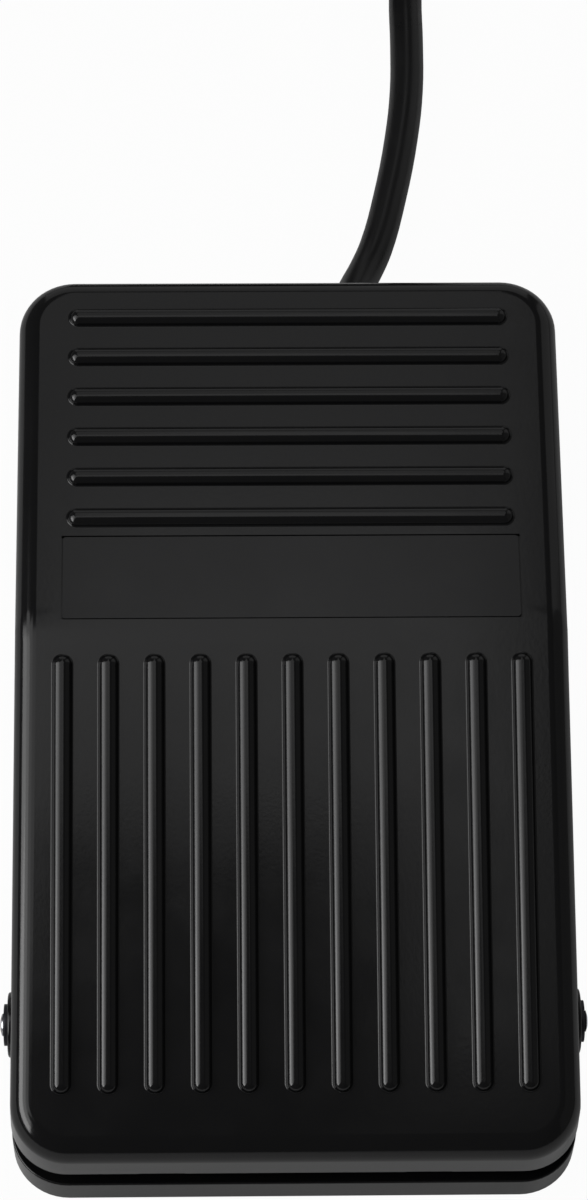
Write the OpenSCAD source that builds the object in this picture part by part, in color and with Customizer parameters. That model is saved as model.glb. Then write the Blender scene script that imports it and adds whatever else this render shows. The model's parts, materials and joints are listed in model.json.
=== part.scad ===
// Foot pedal switch: a sprung treadle on a low tray, hinged near the heel on one steel pin.
// Millimetres. +X right, +Y from the heel to the toe, +Z up. Origin on the floor, mid object.
// The treadle is drawn pressed, where its skirt lies level, and is then swung up to its rest.

/* [Tray] */
// Width of the tray and of the treadle's skirt
tray_w = 62.4; // [60:0.2:66]
// Length of the tray and of the treadle's skirt
tray_l = 102; // [99:0.5:106]
// Plan radius of the tray's and the treadle's corners
corner_r = 6.3; // [5.6:0.1:8]
// Thickness of the tray's floor
floor_t = 2; // [1.8:0.1:2.6]
// Height of the tray's outer rim
rim_h = 4.5; // [3.8:0.1:4.8]
// Thickness of the wall that stands up inside the treadle
upstand_t = 2; // [1.6:0.1:2.4]
// How far that wall reaches up behind the resting skirt
upstand_lap = 3; // [2:0.1:3.6]
// Width of each heel stop
stop_w = 4.6; // [3:0.2:8]
// Distance of each heel stop from the middle
stop_x = 14.6; // [10:0.2:18]
// Depth of the notch in the skirt over each heel stop
notch_h = 0.3; // [0.2:0.05:0.5]

/* [Feet] */
// Height of the rubber feet below the tray
foot_h = 1; // [0.8:0.1:1.6]
// Diameter of the rubber feet
foot_d = 9; // [7:0.5:10]
// Depth of the pocket that holds a foot
foot_sink = 0.8; // [0.5:0.1:1]
// Distance of the feet from the tray's sides and ends
foot_inset = 10; // [9:0.5:12]

/* [Treadle] */
// Wall thickness of the treadle
wall_t = 2; // [1.7:0.1:2.3]
// Height of the heel wall, from the skirt's edge to the near slope
heel_h = 6.5; // [6:0.1:8]
// Distance of the crease behind the middle
crease_y = 6.8; // [5:0.2:8]
// Radius that blends the two slopes at the crease
crease_r = 20; // [15:1:30]
// Rise of the near slope when pressed, in degrees
near_slope = 10.5; // [10:0.1:12]
// Fall of the far slope when pressed, in degrees
far_slope = 2.3; // [1.6:0.1:2.8]
// Radius of the rounded top edges
edge_r = 2.6; // [2.2:0.1:3]
// Draft of the side walls, in degrees
side_draft = 1.8; // [1:0.2:4]
// Draft of the heel and toe walls, in degrees
end_draft = 1.5; // [1:0.5:3]
// Gap between the tray's rim and the skirt when pressed
pressed_gap = 4.2; // [4:0.1:5]
// Swing from rest to pressed, in degrees
travel = 4.2; // [3:0.1:4.4]

/* [Ribs and label] */
// Width of a grip rib
rib_w = 2.2; // [1.8:0.1:2.6]
// Height of a grip rib
rib_h = 0.9; // [0.6:0.1:1]
// Spacing of the ribs, lengthwise and crosswise
rib_pitch = 5.08; // [4.8:0.02:5.2]
// Number of lengthwise ribs on the near slope
long_ribs = 11; // [7:2:11]
// Distance of the lengthwise ribs' ends from the crease
long_rib_start = 3.4; // [2.4:0.1:4]
// Length of a lengthwise rib
long_rib_l = 48.4; // [40:0.2:50]
// Number of crosswise ribs on the far slope
cross_ribs = 6; // [3:1:6]
// Distance of the first crosswise rib from the crease
cross_rib_start = 13.1; // [12.4:0.1:13.6]
// Length of a crosswise rib
cross_rib_l = 50; // [40:0.5:52]
// Width of the bare label plate
label_w = 51; // [40:0.5:52]
// Depth of the label plate, front to back
label_l = 10; // [6:0.2:10.2]
// Thickness of the label plate
label_t = 0.3; // [0.2:0.05:0.5]
// Distance of the label plate from the crease
label_start = 0.8; // [0.6:0.1:1]

/* [Pivot] */
// Diameter of the steel pivot pin
pin_d = 2.5; // [2:0.1:3]
// Distance of the pin from the heel end of the tray
pin_setback = 16.5; // [15:0.5:18]
// Height of the pin above the pressed skirt's edge
pin_rise = 1.8; // [1.4:0.1:2.2]
// Diameter of the round bosses on the skirt
boss_d = 7.2; // [6:0.2:7.6]
// How far the bosses stand out past the tray
boss_proud = 0.3; // [0.2:0.05:0.6]
// Diameter of the tray's ears round the pin
ear_d = 7; // [6:0.2:7.6]
// Length of an ear along the pin
ear_l = 4; // [3:0.2:6]
// Outer diameter of a retaining clip
clip_d = 4.6; // [4:0.1:5.4]
// Thickness of a retaining clip
clip_t = 0.4; // [0.3:0.05:0.6]
// Depth of the clip's groove in the pin
groove_depth = 0.3; // [0.2:0.05:0.4]

/* [Springs] */
// Outer diameter of a return spring
spring_d = 8; // [7:0.2:9]
// Wire diameter of a return spring
spring_wire = 0.9; // [0.7:0.05:1.1]
// Number of coils
spring_turns = 6; // [4:1:7]
// Length of a spring at rest
spring_l = 15.6; // [14.5:0.2:17]
// Distance of each spring from the middle
spring_x = 17; // [16:0.5:18]
// Distance of the springs from the toe end of the tray
spring_setback = 19; // [18:0.5:20]
// Height of a spring's seat above the tray's floor
spring_seat_h = 6; // [5:0.2:7]

/* [Circuit board] */
// Width of the circuit board
board_w = 30; // [29:0.5:31]
// Length of the circuit board
board_l = 36; // [35:0.5:37]
// Thickness of the circuit board
board_t = 1.6; // [1:0.2:1.6]
// Height of the standoffs under the board
standoff_h = 3; // [2.6:0.1:3.2]
// Diameter of the standoffs
standoff_d = 5; // [4:0.2:6]
// Distance of the board's screws from its edges
screw_inset = 3; // [2.6:0.1:3.2]
// Thread diameter of the small screws
screw_d = 1.9; // [1.5:0.1:2.2]
// Head diameter of the small screws
screw_head_d = 3.8; // [3.4:0.1:4.2]
// Head height of the small screws
screw_head_h = 1.3; // [1:0.1:1.6]

/* [Microswitch] */
// Width of the switch case
case_w = 6.4; // [6:0.1:7]
// Length of the switch case
case_l = 19.8; // [19:0.1:20.4]
// Height of the switch case
case_h = 10.2; // [9.8:0.1:10.6]
// Distance of the case's heel end from the middle, towards the heel
case_front = 10; // [9:0.5:11]
// Distance of the lever's hinge from the case's toe end
hinge_inset = 2.8; // [2.4:0.1:3.4]
// Height of the lever's hinge above the case
hinge_rise = 0.9; // [0.85:0.05:1.1]
// Diameter of the lever's rolled hinge
barrel_d = 1.4; // [1.2:0.1:1.5]
// Length of the lever
lever_l = 15; // [13:0.5:16]
// Width of the lever
lever_w = 3.6; // [3:0.2:4.2]
// Thickness of the lever
lever_t = 0.4; // [0.3:0.05:0.5]
// Degrees that the lever turns for each degree of the treadle
lever_ratio = 2.9; // [2.8:0.05:3]
// Distance of the treadle's post from the lever's hinge
post_reach = 10.5; // [10.3:0.1:10.7]
// Diameter of the treadle's post
post_d = 3.4; // [2.6:0.2:4]
// Distance of the plunger from the lever's hinge
plunger_reach = 5; // [4.8:0.1:5.4]
// Diameter of the plunger
plunger_d = 2; // [1.6:0.1:2.4]
// How far the plunger stands out of the case at rest
plunger_out = 1.4; // [1.3:0.05:1.45]

/* [Cord] */
// Diameter of the cord
cord_d = 4.2; // [3.8:0.1:4.6]
// Inner radius of the coil, to the middle of the cord
coil_r = 17; // [16:0.5:18]
// Spacing of the coil's turns, sideways and upwards
coil_pitch = 5; // [4.9:0.05:5.1]
// Thickness of the tie round the coil
tie_t = 0.6; // [0.5:0.05:0.8]
// Width of the tie round the coil
tie_w = 5; // [3:0.5:8]
// Wall of the strain relief round the cord, at the tray
relief_wall = 1.2; // [1:0.1:1.2]
// Length of the strain relief outside the upstand
relief_l = 6.5; // [6:0.1:7]

/* [Plug] */
// Width of the plug's overmould
overmould_w = 15.6; // [14:0.2:17]
// Thickness of the plug's overmould
overmould_t = 7.6; // [7:0.2:8.4]
// Length of the plug's overmould
overmould_l = 26; // [22:0.5:30]
// Width of the plug's metal shell
shell_w = 12; // [11.9:0.05:12.1]
// Thickness of the plug's metal shell
shell_h = 4.5; // [4.4:0.05:4.6]
// Length of the metal shell outside the overmould
shell_l = 18.5; // [16:0.5:20]
// Sheet thickness of the metal shell
sheet_t = 0.3; // [0.25:0.05:0.4]

/* [Fits] */
// Radial play of the treadle on its pin
run_fit = 0.05; // [0.02:0.01:0.08]
// Radial play of pieces that are pushed together
push_fit = 0.02; // [0.01:0.01:0.03]
// Gap between the treadle's skirt and the upstand
skirt_gap = 1; // [0.9:0.05:1.2]
// Gap kept between parts that move past each other
part_gap = 0.3; // [0.25:0.05:0.4]
// Gap between the resting skirt and the heel stops
stop_gap = 0.2; // [0.1:0.05:0.3]

/* [Hidden] */

round_fn = 48;
hull_fn = 32;
eps = 0.01;

// Levels of the tray and the skirt
floor_z = foot_h + floor_t;
rim_z = foot_h + rim_h;
skirt_z = rim_z + pressed_gap;
pin_y = -tray_l / 2 + pin_setback;
pin_z = skirt_z + pin_rise;

// The two slopes of the pressed treadle meet at the crease
crease_z = skirt_z + heel_h + (tray_l / 2 + crease_y) * tan(near_slope);
half_bend = (near_slope + far_slope) / 2;
lean = (near_slope - far_slope) / 2;
blend_y = crease_y + crease_r / cos(half_bend) * sin(lean);
blend_z = crease_z - crease_r / cos(half_bend) * cos(lean);
function near_z(y) = crease_z - (crease_y - y) * tan(near_slope);
function far_z(y) = crease_z - (y - crease_y) * tan(far_slope);

// A point of the pressed treadle, [y, z], swung up to its rest
function rest_y(y, z) = pin_y + (y - pin_y) * cos(travel) - (z - pin_z) * sin(travel);
function rest_z(y, z) = pin_z + (y - pin_y) * sin(travel) + (z - pin_z) * cos(travel);
crease_rest_y = rest_y(crease_y, crease_z);
crease_rest_z = rest_z(crease_y, crease_z);
function near_rest_z(y) = crease_rest_z - (crease_rest_y - y) * tan(near_slope + travel);
function far_rest_z(y) = crease_rest_z + (y - crease_rest_y) * tan(travel - far_slope);

// The upstand stands inside the skirt
upstand_inset = wall_t + skirt_gap;
upstand_w = tray_w - 2 * upstand_inset;
upstand_l = tray_l - 2 * upstand_inset;
upstand_corner = corner_r - upstand_inset;
well_w = upstand_w - 2 * upstand_t;
well_l = upstand_l - 2 * upstand_t;
well_corner = upstand_corner - upstand_t;
upstand_cut = 40;
stop_depth = 1.8;
notch_play = 0.2;

// A rib is the cap of a round bar sunk in the slope
rib_r = (rib_h * rib_h + rib_w * rib_w / 4) / (2 * rib_h);
label_play = 0.1;
label_sink = 0.05;

// Pivot: bosses on the skirt, ears on the tray, clips outside the bosses
boss_face = tray_w / 2 + boss_proud;
boss_inner = upstand_w / 2 + part_gap;
clip_play = 0.05;
clip_x = boss_face + clip_play;
pin_end = clip_x + 2 * clip_t;
groove_r = pin_d / 2 - groove_depth;
ear_web = 5;

// Springs stand on seats in the tray and press under bosses of the treadle
spring_r = (spring_d - spring_wire) / 2;
spring_y = tray_l / 2 - spring_setback;
spring_z = floor_z + spring_seat_h;
spring_top = spring_z + spring_l;
spring_rim = 1.5;
spring_post_d = spring_d - 2 * spring_wire - 0.8;
spring_post_h = 4;
spring_boss_d = spring_d + 2 * spring_rim;
spring_sides = 6;
spring_steps = 8;

// Circuit board and what stands on it
board_z = floor_z + standoff_h;
board_top = board_z + board_t;
pilot_d = screw_d + 2 * push_fit;
hole_d = screw_d + 0.4;
chip_size = [5.3, 7.2, 1.8];
chip_at = [-9.5, 0];
chip_pins = 10;
chip_pin_pitch = 0.65;
chip_pin_size = [1, 0.25, 0.8];
crystal_size = [4.5, 11, 3.4];
crystal_at = [9.5, -4];
can_d = 5;
can_h = 7;
can_places = [[-10, -9], [10, 7]];
connector_size = [10, 5, 6];
connector_x = 4;

// Microswitch: case, lever hinge, lever at rest and pressed
case_y = -case_front;
case_top = board_top + case_h;
hinge_y = case_y + case_l - hinge_inset;
hinge_z = case_top + hinge_rise;
lever_end = 0.5;
lever_rest = lever_ratio * travel + lever_end;
lug_t = 1.1;
lug_d = 3;
post_y = hinge_y - post_reach;
post_z = hinge_z + post_reach * tan(lever_rest) + lever_t / 2 / cos(lever_rest) + part_gap;
plunger_y = hinge_y - plunger_reach;
plunger_depth = 3;
case_hole_d = 2.2;
case_hole_pitch = 9.5;
case_hole_rise = 3;
terminal_size = [3.2, 0.5, 3.6];
terminal_pitch = 8.8;
terminal_inset = 1.1;

// Cord: how it passes the tray's rear wall
cord_x = 7;
saddle_h = 1;
saddle_w = 3;
cord_z = floor_z + saddle_h + cord_d / 2;
wall_y = upstand_l / 2;
relief_neck_d = cord_d + 2 * relief_wall;
relief_tip_d = cord_d + 1;
relief_flange_d = relief_neck_d + 2.4;
relief_flange_t = 1.5;
relief_flange_y = wall_y - upstand_t - relief_flange_t;
relief_end_y = wall_y + relief_l;
clamp_size = [16, 5, 2];
clamp_room = 1.5;
clamp_y = relief_flange_y - clamp_room - clamp_size[1] / 2;
entry_y = clamp_y - clamp_size[1] / 2 - 2;
clamp_screw_x = 5.4;
clamp_post_d = 4.6;
core_d = 0.9;
core_pitch = 0.95;
core_names = ["red", "white", "green", "black"];

// Coil put away behind the object: layers that spiral in and out, climbing where they turn back
coil_at = [-6, relief_end_y + 90.5];
coil_layers = 4;
coil_layer_turns = 3;
coil_climb = 0.5;
coil_turns = coil_layers * coil_layer_turns - coil_climb;
coil_sweep = coil_layer_turns - coil_climb;
coil_outer = coil_r + coil_sweep * coil_pitch;
tie_play = 0.3;
tie_slack = 0.5;
tie_corner = 2.4;
tie_turn = 75;
coil_z = tie_t + tie_play + cord_d / 2;
coil_top = coil_z + (coil_layers - 1) * coil_pitch;
coil_steps = 24;
coil_sides = 6;
lead_sides = 8;

// Plug lying across the top of the coil
plug_y = coil_at[1] - 16;
plug_x = coil_at[0] - 5;
plug_z = coil_top + cord_d / 2 + part_gap + overmould_t / 2;
plug_relief_l = 9;
plug_relief_d = 6.4;
overmould_round = 1.6;
tongue_t = 1.9;
tongue_play = 0.15;
contact_size = [13, 1, 0.25];
contact_pitch = 2.3;
window_size = [2.6, 2.4];
window_at = [6, 2.9];

// Hand-chosen bends of the cord on its way to the coil: steps in the plan from the end of the strain
// relief, and the share of the drop to the floor
lead_start = [cord_x, relief_end_y, cord_z];
lead_end = [coil_at[0] + coil_outer, coil_at[1] - cord_d, coil_z];
lead_drop = cord_z - cord_d / 2;
lead_bends = [
    [0, 1, 0], [0.1, 2.5, 0.05], [0.75, 6.5, 0.375], [1.9, 9.9, 0.725], [3.2, 12.9, 0.925], [4.6, 16.5, 1],
    [6.4, 23.5, 1], [8.1, 32.5, 1], [8.9, 39.5, 1], [9.1, 46.5, 1], [9.1, 53.5, 1],
    [9.6, 60.5, 1], [11.8, 67.5, 0.95], [14.3, 74.5, 0.875], [15.9, 80.5, 0.8]
];
lead_route = [
    lead_start,
    for (bend = lead_bends) lead_start + [bend[0], bend[1], -bend[2] * lead_drop],
    lead_end - [0, cord_d, 0],
    lead_end
];

// Hand-chosen bends of the cord from the top of the coil to the plug: steps across from the coil's end,
// and the shares of the way forward and up to the plug
tail_start = [coil_at[0] - coil_outer, coil_at[1] - cord_d, coil_top];
tail_end = [plug_x - plug_relief_l, plug_y, plug_z];
tail_bends = [
    [0, 0.08, 0], [0.1, 0.25, 0.1], [1.9, 0.55, 0.44], [5.9, 0.85, 0.84], [9.9, 0.975, 0.98], [12.9, 1, 1]
];
tail_route = [
    tail_start,
    for (bend = tail_bends) [
        tail_start[0] + bend[0],
        tail_start[1] + bend[1] * (tail_end[1] - tail_start[1]),
        tail_start[2] + bend[2] * (tail_end[2] - tail_start[2])
    ],
    tail_end
];

// Points along the coil: turn t counts from the rightmost point, anticlockwise from above
function layer_of(t) = min(floor(t / coil_layer_turns), coil_layers - 1);
function layer_part(t) = t - layer_of(t) * coil_layer_turns;
function sweep_part(t) = min(layer_part(t), coil_sweep) / coil_sweep;
function climb_part(t) = max(layer_part(t) - coil_sweep, 0) / coil_climb;
function inward(t) = layer_of(t) % 2 == 0 ? sweep_part(t) : 1 - sweep_part(t);
function coil_radius(t) = coil_outer - inward(t) * (coil_outer - coil_r);
function coil_height(t) = coil_z + (layer_of(t) + climb_part(t)) * coil_pitch;
function coil_point(t) = [
    coil_at[0] + coil_radius(t) * cos(360 * t),
    coil_at[1] + coil_radius(t) * sin(360 * t),
    coil_height(t)
];
coil_rings = round(coil_turns * coil_steps);
coil_path = [
    [coil_at[0] + coil_outer, coil_at[1] - cord_d, coil_z],
    for (i = [0:coil_rings]) coil_point(coil_turns * i / coil_rings),
    [coil_at[0] - coil_outer, coil_at[1] - cord_d, coil_top]
];

// Points along a spring that stands on the tray
function spring_path(x) = [
    for (i = [0:spring_turns * spring_steps])
        let (turn = i / spring_steps, rise = spring_l - spring_wire)
        [
            x + spring_r * cos(360 * turn),
            spring_y + spring_r * sin(360 * turn),
            spring_z + spring_wire / 2 + rise * turn / spring_turns
        ]
];

// Least gap of a tube to itself, between rings that lie half a turn or more apart
function self_gap(path, d, apart) = min([
    for (i = [0:len(path) - 1 - apart])
        for (j = [i + apart:len(path) - 1]) norm(path[i] - path[j])
]) - d;
echo(coil_least_gap = self_gap(coil_path, cord_d, coil_steps / 2));
echo(spring_least_gap = self_gap(spring_path(0), spring_wire, spring_steps / 2));

// Rounded rectangle in the plan, centred
module round_rect(w, l, r) {
    square([w - 2 * r, l], center = true);
    square([w, l - 2 * r], center = true);
    for (x = [-1, 1], y = [-1, 1])
        translate([x * (w / 2 - r), y * (l / 2 - r)])
            circle(r, $fn = round_fn);
}

// Box standing on z = 0, centred in the plan
module block(size) {
    translate([-size[0] / 2, -size[1] / 2, 0])
        cube(size);
}

// Upright cylinder at a place in the plan, between two heights
module post(at, z0, z1, d) {
    translate([at[0], at[1], z0])
        cylinder(d = d, h = z1 - z0, $fn = round_fn);
}

// Cylinder along X, between two places
module bar_x(x0, x1, y, z, d) {
    translate([x0, y, z])
        rotate([0, 90, 0])
            cylinder(d = d, h = x1 - x0, $fn = round_fn);
}

// Round bar between two points
module rod(from, to, d) {
    run = to - from;
    length = norm(run);
    translate(from)
        rotate([0, acos(run[2] / length), atan2(run[1], run[0])])
            cylinder(d = d, h = length, $fn = round_fn);
}

// Bar with round ends along Z, centred
module capsule(length, r) {
    straight = length / 2 - r;
    rotate_extrude($fn = round_fn)
        intersection() {
            translate([0, -length])
                square([r + 1, 2 * length]);
            union() {
                for (end = [-1, 1])
                    translate([0, end * straight])
                        circle(r, $fn = round_fn);
                square([2 * r, 2 * straight], center = true);
            }
        }
}

// Tube along a path of points, its rings kept upright, with flat ends
module tube(path, d, sides) {
    last = len(path) - 1;
    rings = [
        for (i = [0:last])
            let (
                way = path[min(i + 1, last)] - path[max(i - 1, 0)],
                ahead = way / norm(way),
                level = cross(ahead, [0, 0, 1]),
                side = level / norm(level),
                top = cross(side, ahead)
            )
            for (k = [0:sides - 1])
                path[i] + d / 2 * (cos(360 * k / sides) * side + sin(360 * k / sides) * top)
    ];
    skin = [
        for (i = [0:last - 1], k = [0:sides - 1])
            let (a = i * sides + k, b = i * sides + (k + 1) % sides)
            each [[a, a + sides, b], [b, a + sides, b + sides]]
    ];
    start_cap = [for (k = [1:sides - 2]) [0, k, k + 1]];
    end_cap = [for (k = [1:sides - 2]) [last * sides, last * sides + k + 1, last * sides + k]];
    polyhedron(points = rings, faces = concat(skin, start_cap, end_cap));
}

// Swings the pressed treadle up to its rest
module at_rest() {
    translate([0, pin_y, pin_z])
        rotate([travel, 0, 0])
            translate([0, -pin_y, -pin_z])
                children();
}

// Frame that lies on the pressed near slope, origin at the crease, +Y up the slope
module on_near_slope() {
    translate([0, crease_y, crease_z])
        rotate([near_slope, 0, 0])
            children();
}

// Frame that lies on the pressed far slope, origin at the crease, +Y towards the toe
module on_far_slope() {
    translate([0, crease_y, crease_z])
        rotate([-far_slope, 0, 0])
            children();
}

// Rounded outer form of the pressed treadle, shrunk by a wall
module treadle_form(inset) {
    edge = max(edge_r - inset, 0.6);
    corner = corner_r - inset;
    ring_r = corner - edge;
    reach_x = tray_w / 2 - inset;
    reach_y = tray_l / 2 - inset;
    heel_y = -reach_y + corner;
    toe_y = reach_y - corner;
    heel_z = near_z(heel_y) - (inset + edge) / cos(near_slope);
    toe_z = far_z(toe_y) - (inset + edge) / cos(far_slope);
    hull() {
        translate([0, 0, skirt_z - inset])
            linear_extrude(eps)
                round_rect(2 * reach_x, 2 * reach_y, corner);
        for (x = [-1, 1]) {
            translate([
                x * (reach_x - corner - (heel_z - skirt_z) * tan(side_draft)),
                heel_y + (heel_z - skirt_z) * tan(end_draft),
                heel_z
            ])
                rotate([near_slope, 0, 0])
                    rotate_extrude($fn = hull_fn)
                        translate([ring_r, 0])
                            circle(edge, $fn = hull_fn);
            translate([
                x * (reach_x - corner - (toe_z - skirt_z) * tan(side_draft)),
                toe_y - (toe_z - skirt_z) * tan(end_draft),
                toe_z
            ])
                rotate([-far_slope, 0, 0])
                    rotate_extrude($fn = hull_fn)
                        translate([ring_r, 0])
                            circle(edge, $fn = hull_fn);
            for (turn = [-near_slope:2 * half_bend / 4:far_slope + eps]) {
                ball_z = blend_z + (crease_r - inset - edge) * cos(turn);
                translate([
                    x * (reach_x - edge - (ball_z - skirt_z) * tan(side_draft)),
                    blend_y + (crease_r - inset - edge) * sin(turn),
                    ball_z
                ])
                    sphere(edge, $fn = hull_fn);
            }
        }
    }
}

// Grip ribs on both slopes of the pressed treadle
module grip_ribs() {
    on_near_slope()
        for (i = [0:long_ribs - 1])
            translate([(i - (long_ribs - 1) / 2) * rib_pitch, -long_rib_start - long_rib_l / 2, rib_h - rib_r])
                rotate([90, 0, 0])
                    capsule(long_rib_l, rib_r);
    on_far_slope()
        for (i = [0:cross_ribs - 1])
            translate([0, cross_rib_start + i * rib_pitch, rib_h - rib_r])
                rotate([0, 90, 0])
                    capsule(cross_rib_l, rib_r);
}

module base_tray() {
    ear_x = upstand_w / 2 - ear_l;
    stop_top = rest_z(-tray_l / 2, skirt_z + notch_h) - stop_gap;
    color("#17171a")
        difference() {
            union() {
                difference() {
                    union() {
                        translate([0, 0, foot_h])
                            linear_extrude(rim_h)
                                round_rect(tray_w, tray_l, corner_r);
                        translate([0, 0, foot_h])
                            linear_extrude(upstand_cut)
                                round_rect(upstand_w, upstand_l, upstand_corner);
                    }
                    translate([0, 0, floor_z])
                        linear_extrude(upstand_cut)
                            round_rect(well_w, well_l, well_corner);
                    at_rest()
                        translate([0, 0, skirt_z + upstand_lap])
                            block([2 * tray_w, 2 * tray_l, 2 * upstand_cut]);
                }
                for (side = [-1, 1]) {
                    bar_x(side > 0 ? ear_x : -ear_x - ear_l, side > 0 ? ear_x + ear_l : -ear_x, pin_y, pin_z, ear_d);
                    translate([side * (ear_x + ear_l / 2), pin_y, floor_z - eps])
                        block([ear_l, ear_web, pin_z - floor_z]);
                    translate([side * stop_x, -upstand_l / 2 - stop_depth / 2 + eps, rim_z - eps])
                        block([stop_w, stop_depth, stop_top - rim_z + eps]);
                    post([side * spring_x, spring_y], floor_z - eps, spring_z, spring_boss_d);
                    post([side * spring_x, spring_y], floor_z - eps, spring_z + spring_post_h, spring_post_d);
                    post([cord_x + side * clamp_screw_x, clamp_y], floor_z - eps, cord_z + cord_d / 2, clamp_post_d);
                    for (end = [-1, 1])
                        post(board_corner(side, end), floor_z - eps, board_z, standoff_d);
                }
                translate([cord_x, clamp_y, floor_z - eps])
                    block([saddle_w, clamp_size[1], saddle_h + eps]);
            }
            for (side = [-1, 1], end = [-1, 1]) {
                post(foot_place(side, end), foot_h - 1, foot_h + foot_sink, foot_d + 2 * push_fit);
                post(board_corner(side, end), floor_z, board_z + 1, pilot_d);
            }
            for (side = [-1, 1])
                post([cord_x + side * clamp_screw_x, clamp_y], floor_z, cord_z + cord_d, pilot_d);
            bar_x(-tray_w, tray_w, pin_y, pin_z, pin_d + 2 * push_fit);
            translate([cord_x, relief_flange_y - push_fit, cord_z])
                rotate([-90, 0, 0]) {
                    cylinder(d = relief_neck_d + 2 * push_fit, h = tray_l, $fn = round_fn);
                    cylinder(d = relief_flange_d + 2 * push_fit, h = relief_flange_t + push_fit, $fn = round_fn);
                }
            translate([cord_x, wall_y + tray_l / 2, cord_z])
                block([relief_neck_d + 2 * push_fit, tray_l, rim_h]);
        }
}

// Places that repeat in the tray
function foot_place(side, end) = [side * (tray_w / 2 - foot_inset), end * (tray_l / 2 - foot_inset)];
function board_corner(side, end) = [side * (board_w / 2 - screw_inset), end * (board_l / 2 - screw_inset)];

module rubber_feet() {
    color("#101012")
        for (side = [-1, 1], end = [-1, 1])
            post(foot_place(side, end), 0, foot_h + foot_sink, foot_d);
}

module treadle() {
    color("#1b1b1e")
        difference() {
            union() {
                at_rest()
                    difference() {
                        union() {
                            treadle_form(0);
                            grip_ribs();
                        }
                        treadle_form(wall_t);
                        for (side = [-1, 1])
                            translate([side * stop_x, -tray_l / 2, skirt_z - notch_h])
                                block([stop_w + 2 * notch_play, 3 * wall_t, 2 * notch_h]);
                        on_far_slope()
                            translate([0, label_start + label_l / 2, -label_t - label_sink])
                                block([label_w + 2 * label_play, label_l + 2 * label_play, 2 * rib_h]);
                    }
                bar_x(boss_inner, boss_face, pin_y, pin_z, boss_d);
                bar_x(-boss_face, -boss_inner, pin_y, pin_z, boss_d);
                for (side = [-1, 1])
                    post([side * spring_x, spring_y], spring_top, far_rest_z(spring_y) - wall_t / 2, spring_boss_d);
                post([0, post_y], post_z + post_d / 2, near_rest_z(post_y) - wall_t / 2, post_d);
                translate([0, post_y, post_z + post_d / 2])
                    sphere(d = post_d, $fn = round_fn);
            }
            bar_x(-tray_w, tray_w, pin_y, pin_z, pin_d + 2 * run_fit);
        }
}

module label_plate() {
    color("#232327")
        at_rest()
            on_far_slope()
                translate([0, label_start + label_l / 2, -label_t - label_sink])
                    block([label_w, label_l, label_t]);
}

module pivot_pin() {
    color("#c8cacd")
        translate([0, pin_y, pin_z])
            rotate([0, 90, 0])
                difference() {
                    cylinder(d = pin_d, h = 2 * pin_end, center = true, $fn = round_fn);
                    for (side = [-1, 1])
                        translate([0, 0, side * (clip_x + clip_t / 2)])
                            difference() {
                                cylinder(d = 2 * pin_d, h = clip_t + 2 * push_fit, center = true, $fn = round_fn);
                                cylinder(r = groove_r, h = 2 * clip_t, center = true, $fn = round_fn);
                            }
                }
}

module retaining_clips() {
    color("#3a3a3d")
        for (side = [-1, 1])
            translate([side * (clip_x + clip_t / 2), pin_y, pin_z])
                rotate([0, 90, 0])
                    difference() {
                        cylinder(d = clip_d, h = clip_t, center = true, $fn = round_fn);
                        cylinder(r = groove_r + push_fit, h = 2 * clip_t, center = true, $fn = round_fn);
                        translate([clip_d / 2, 0, 0])
                            cube([clip_d, 2 * groove_r, 2 * clip_t], center = true);
                    }
}

module return_spring(side) {
    color("#b9bcc0")
        tube(spring_path(side * spring_x), spring_wire, spring_sides);
}

module circuit_board() {
    color("#1d5b38")
        difference() {
            translate([0, 0, board_z])
                block([board_w, board_l, board_t]);
            for (side = [-1, 1], end = [-1, 1])
                post(board_corner(side, end), board_z - 1, board_top + 1, hole_d);
            for (i = [-1:1])
                translate([0, terminal_y(i), board_z - 1])
                    block([terminal_size[0] + 0.4, terminal_size[1] + 0.4, board_t + 2]);
        }
}

// Pan-headed screw, the underside of its head at a place
module screw(at, z, length) {
    post(at, z, z + screw_head_h, screw_head_d);
    post(at, z - length, z + eps, screw_d);
}

module board_screws() {
    color("#c2c5c8")
        for (side = [-1, 1], end = [-1, 1])
            screw(board_corner(side, end), board_top, board_t + standoff_h - part_gap);
}

module controller_chip() {
    color("#1a1a1c")
        translate([chip_at[0], chip_at[1], board_top])
            block(chip_size);
}

module chip_leads() {
    color("#c4c6c9")
        for (side = [-1, 1], i = [0:chip_pins - 1])
            translate([
                chip_at[0] + side * (chip_size[0] + chip_pin_size[0]) / 2,
                chip_at[1] + (i - (chip_pins - 1) / 2) * chip_pin_pitch,
                board_top
            ])
                block(chip_pin_size);
}

module crystal() {
    color("#cfd2d5")
        translate([crystal_at[0], crystal_at[1], board_top])
            linear_extrude(crystal_size[2])
                round_rect(crystal_size[0], crystal_size[1], crystal_size[0] / 2 - 0.1);
}

module capacitors() {
    color("#33405e")
        for (place = can_places)
            post(place, board_top, board_top + can_h, can_d);
}

module wire_connector() {
    color("#e8e6dc")
        translate([connector_x, board_l / 2 - connector_size[1] / 2, board_top])
            block(connector_size);
}

// Y of a switch terminal, counted from the middle of the case
function terminal_y(i) = case_y + case_l / 2 + i * terminal_pitch;

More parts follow.
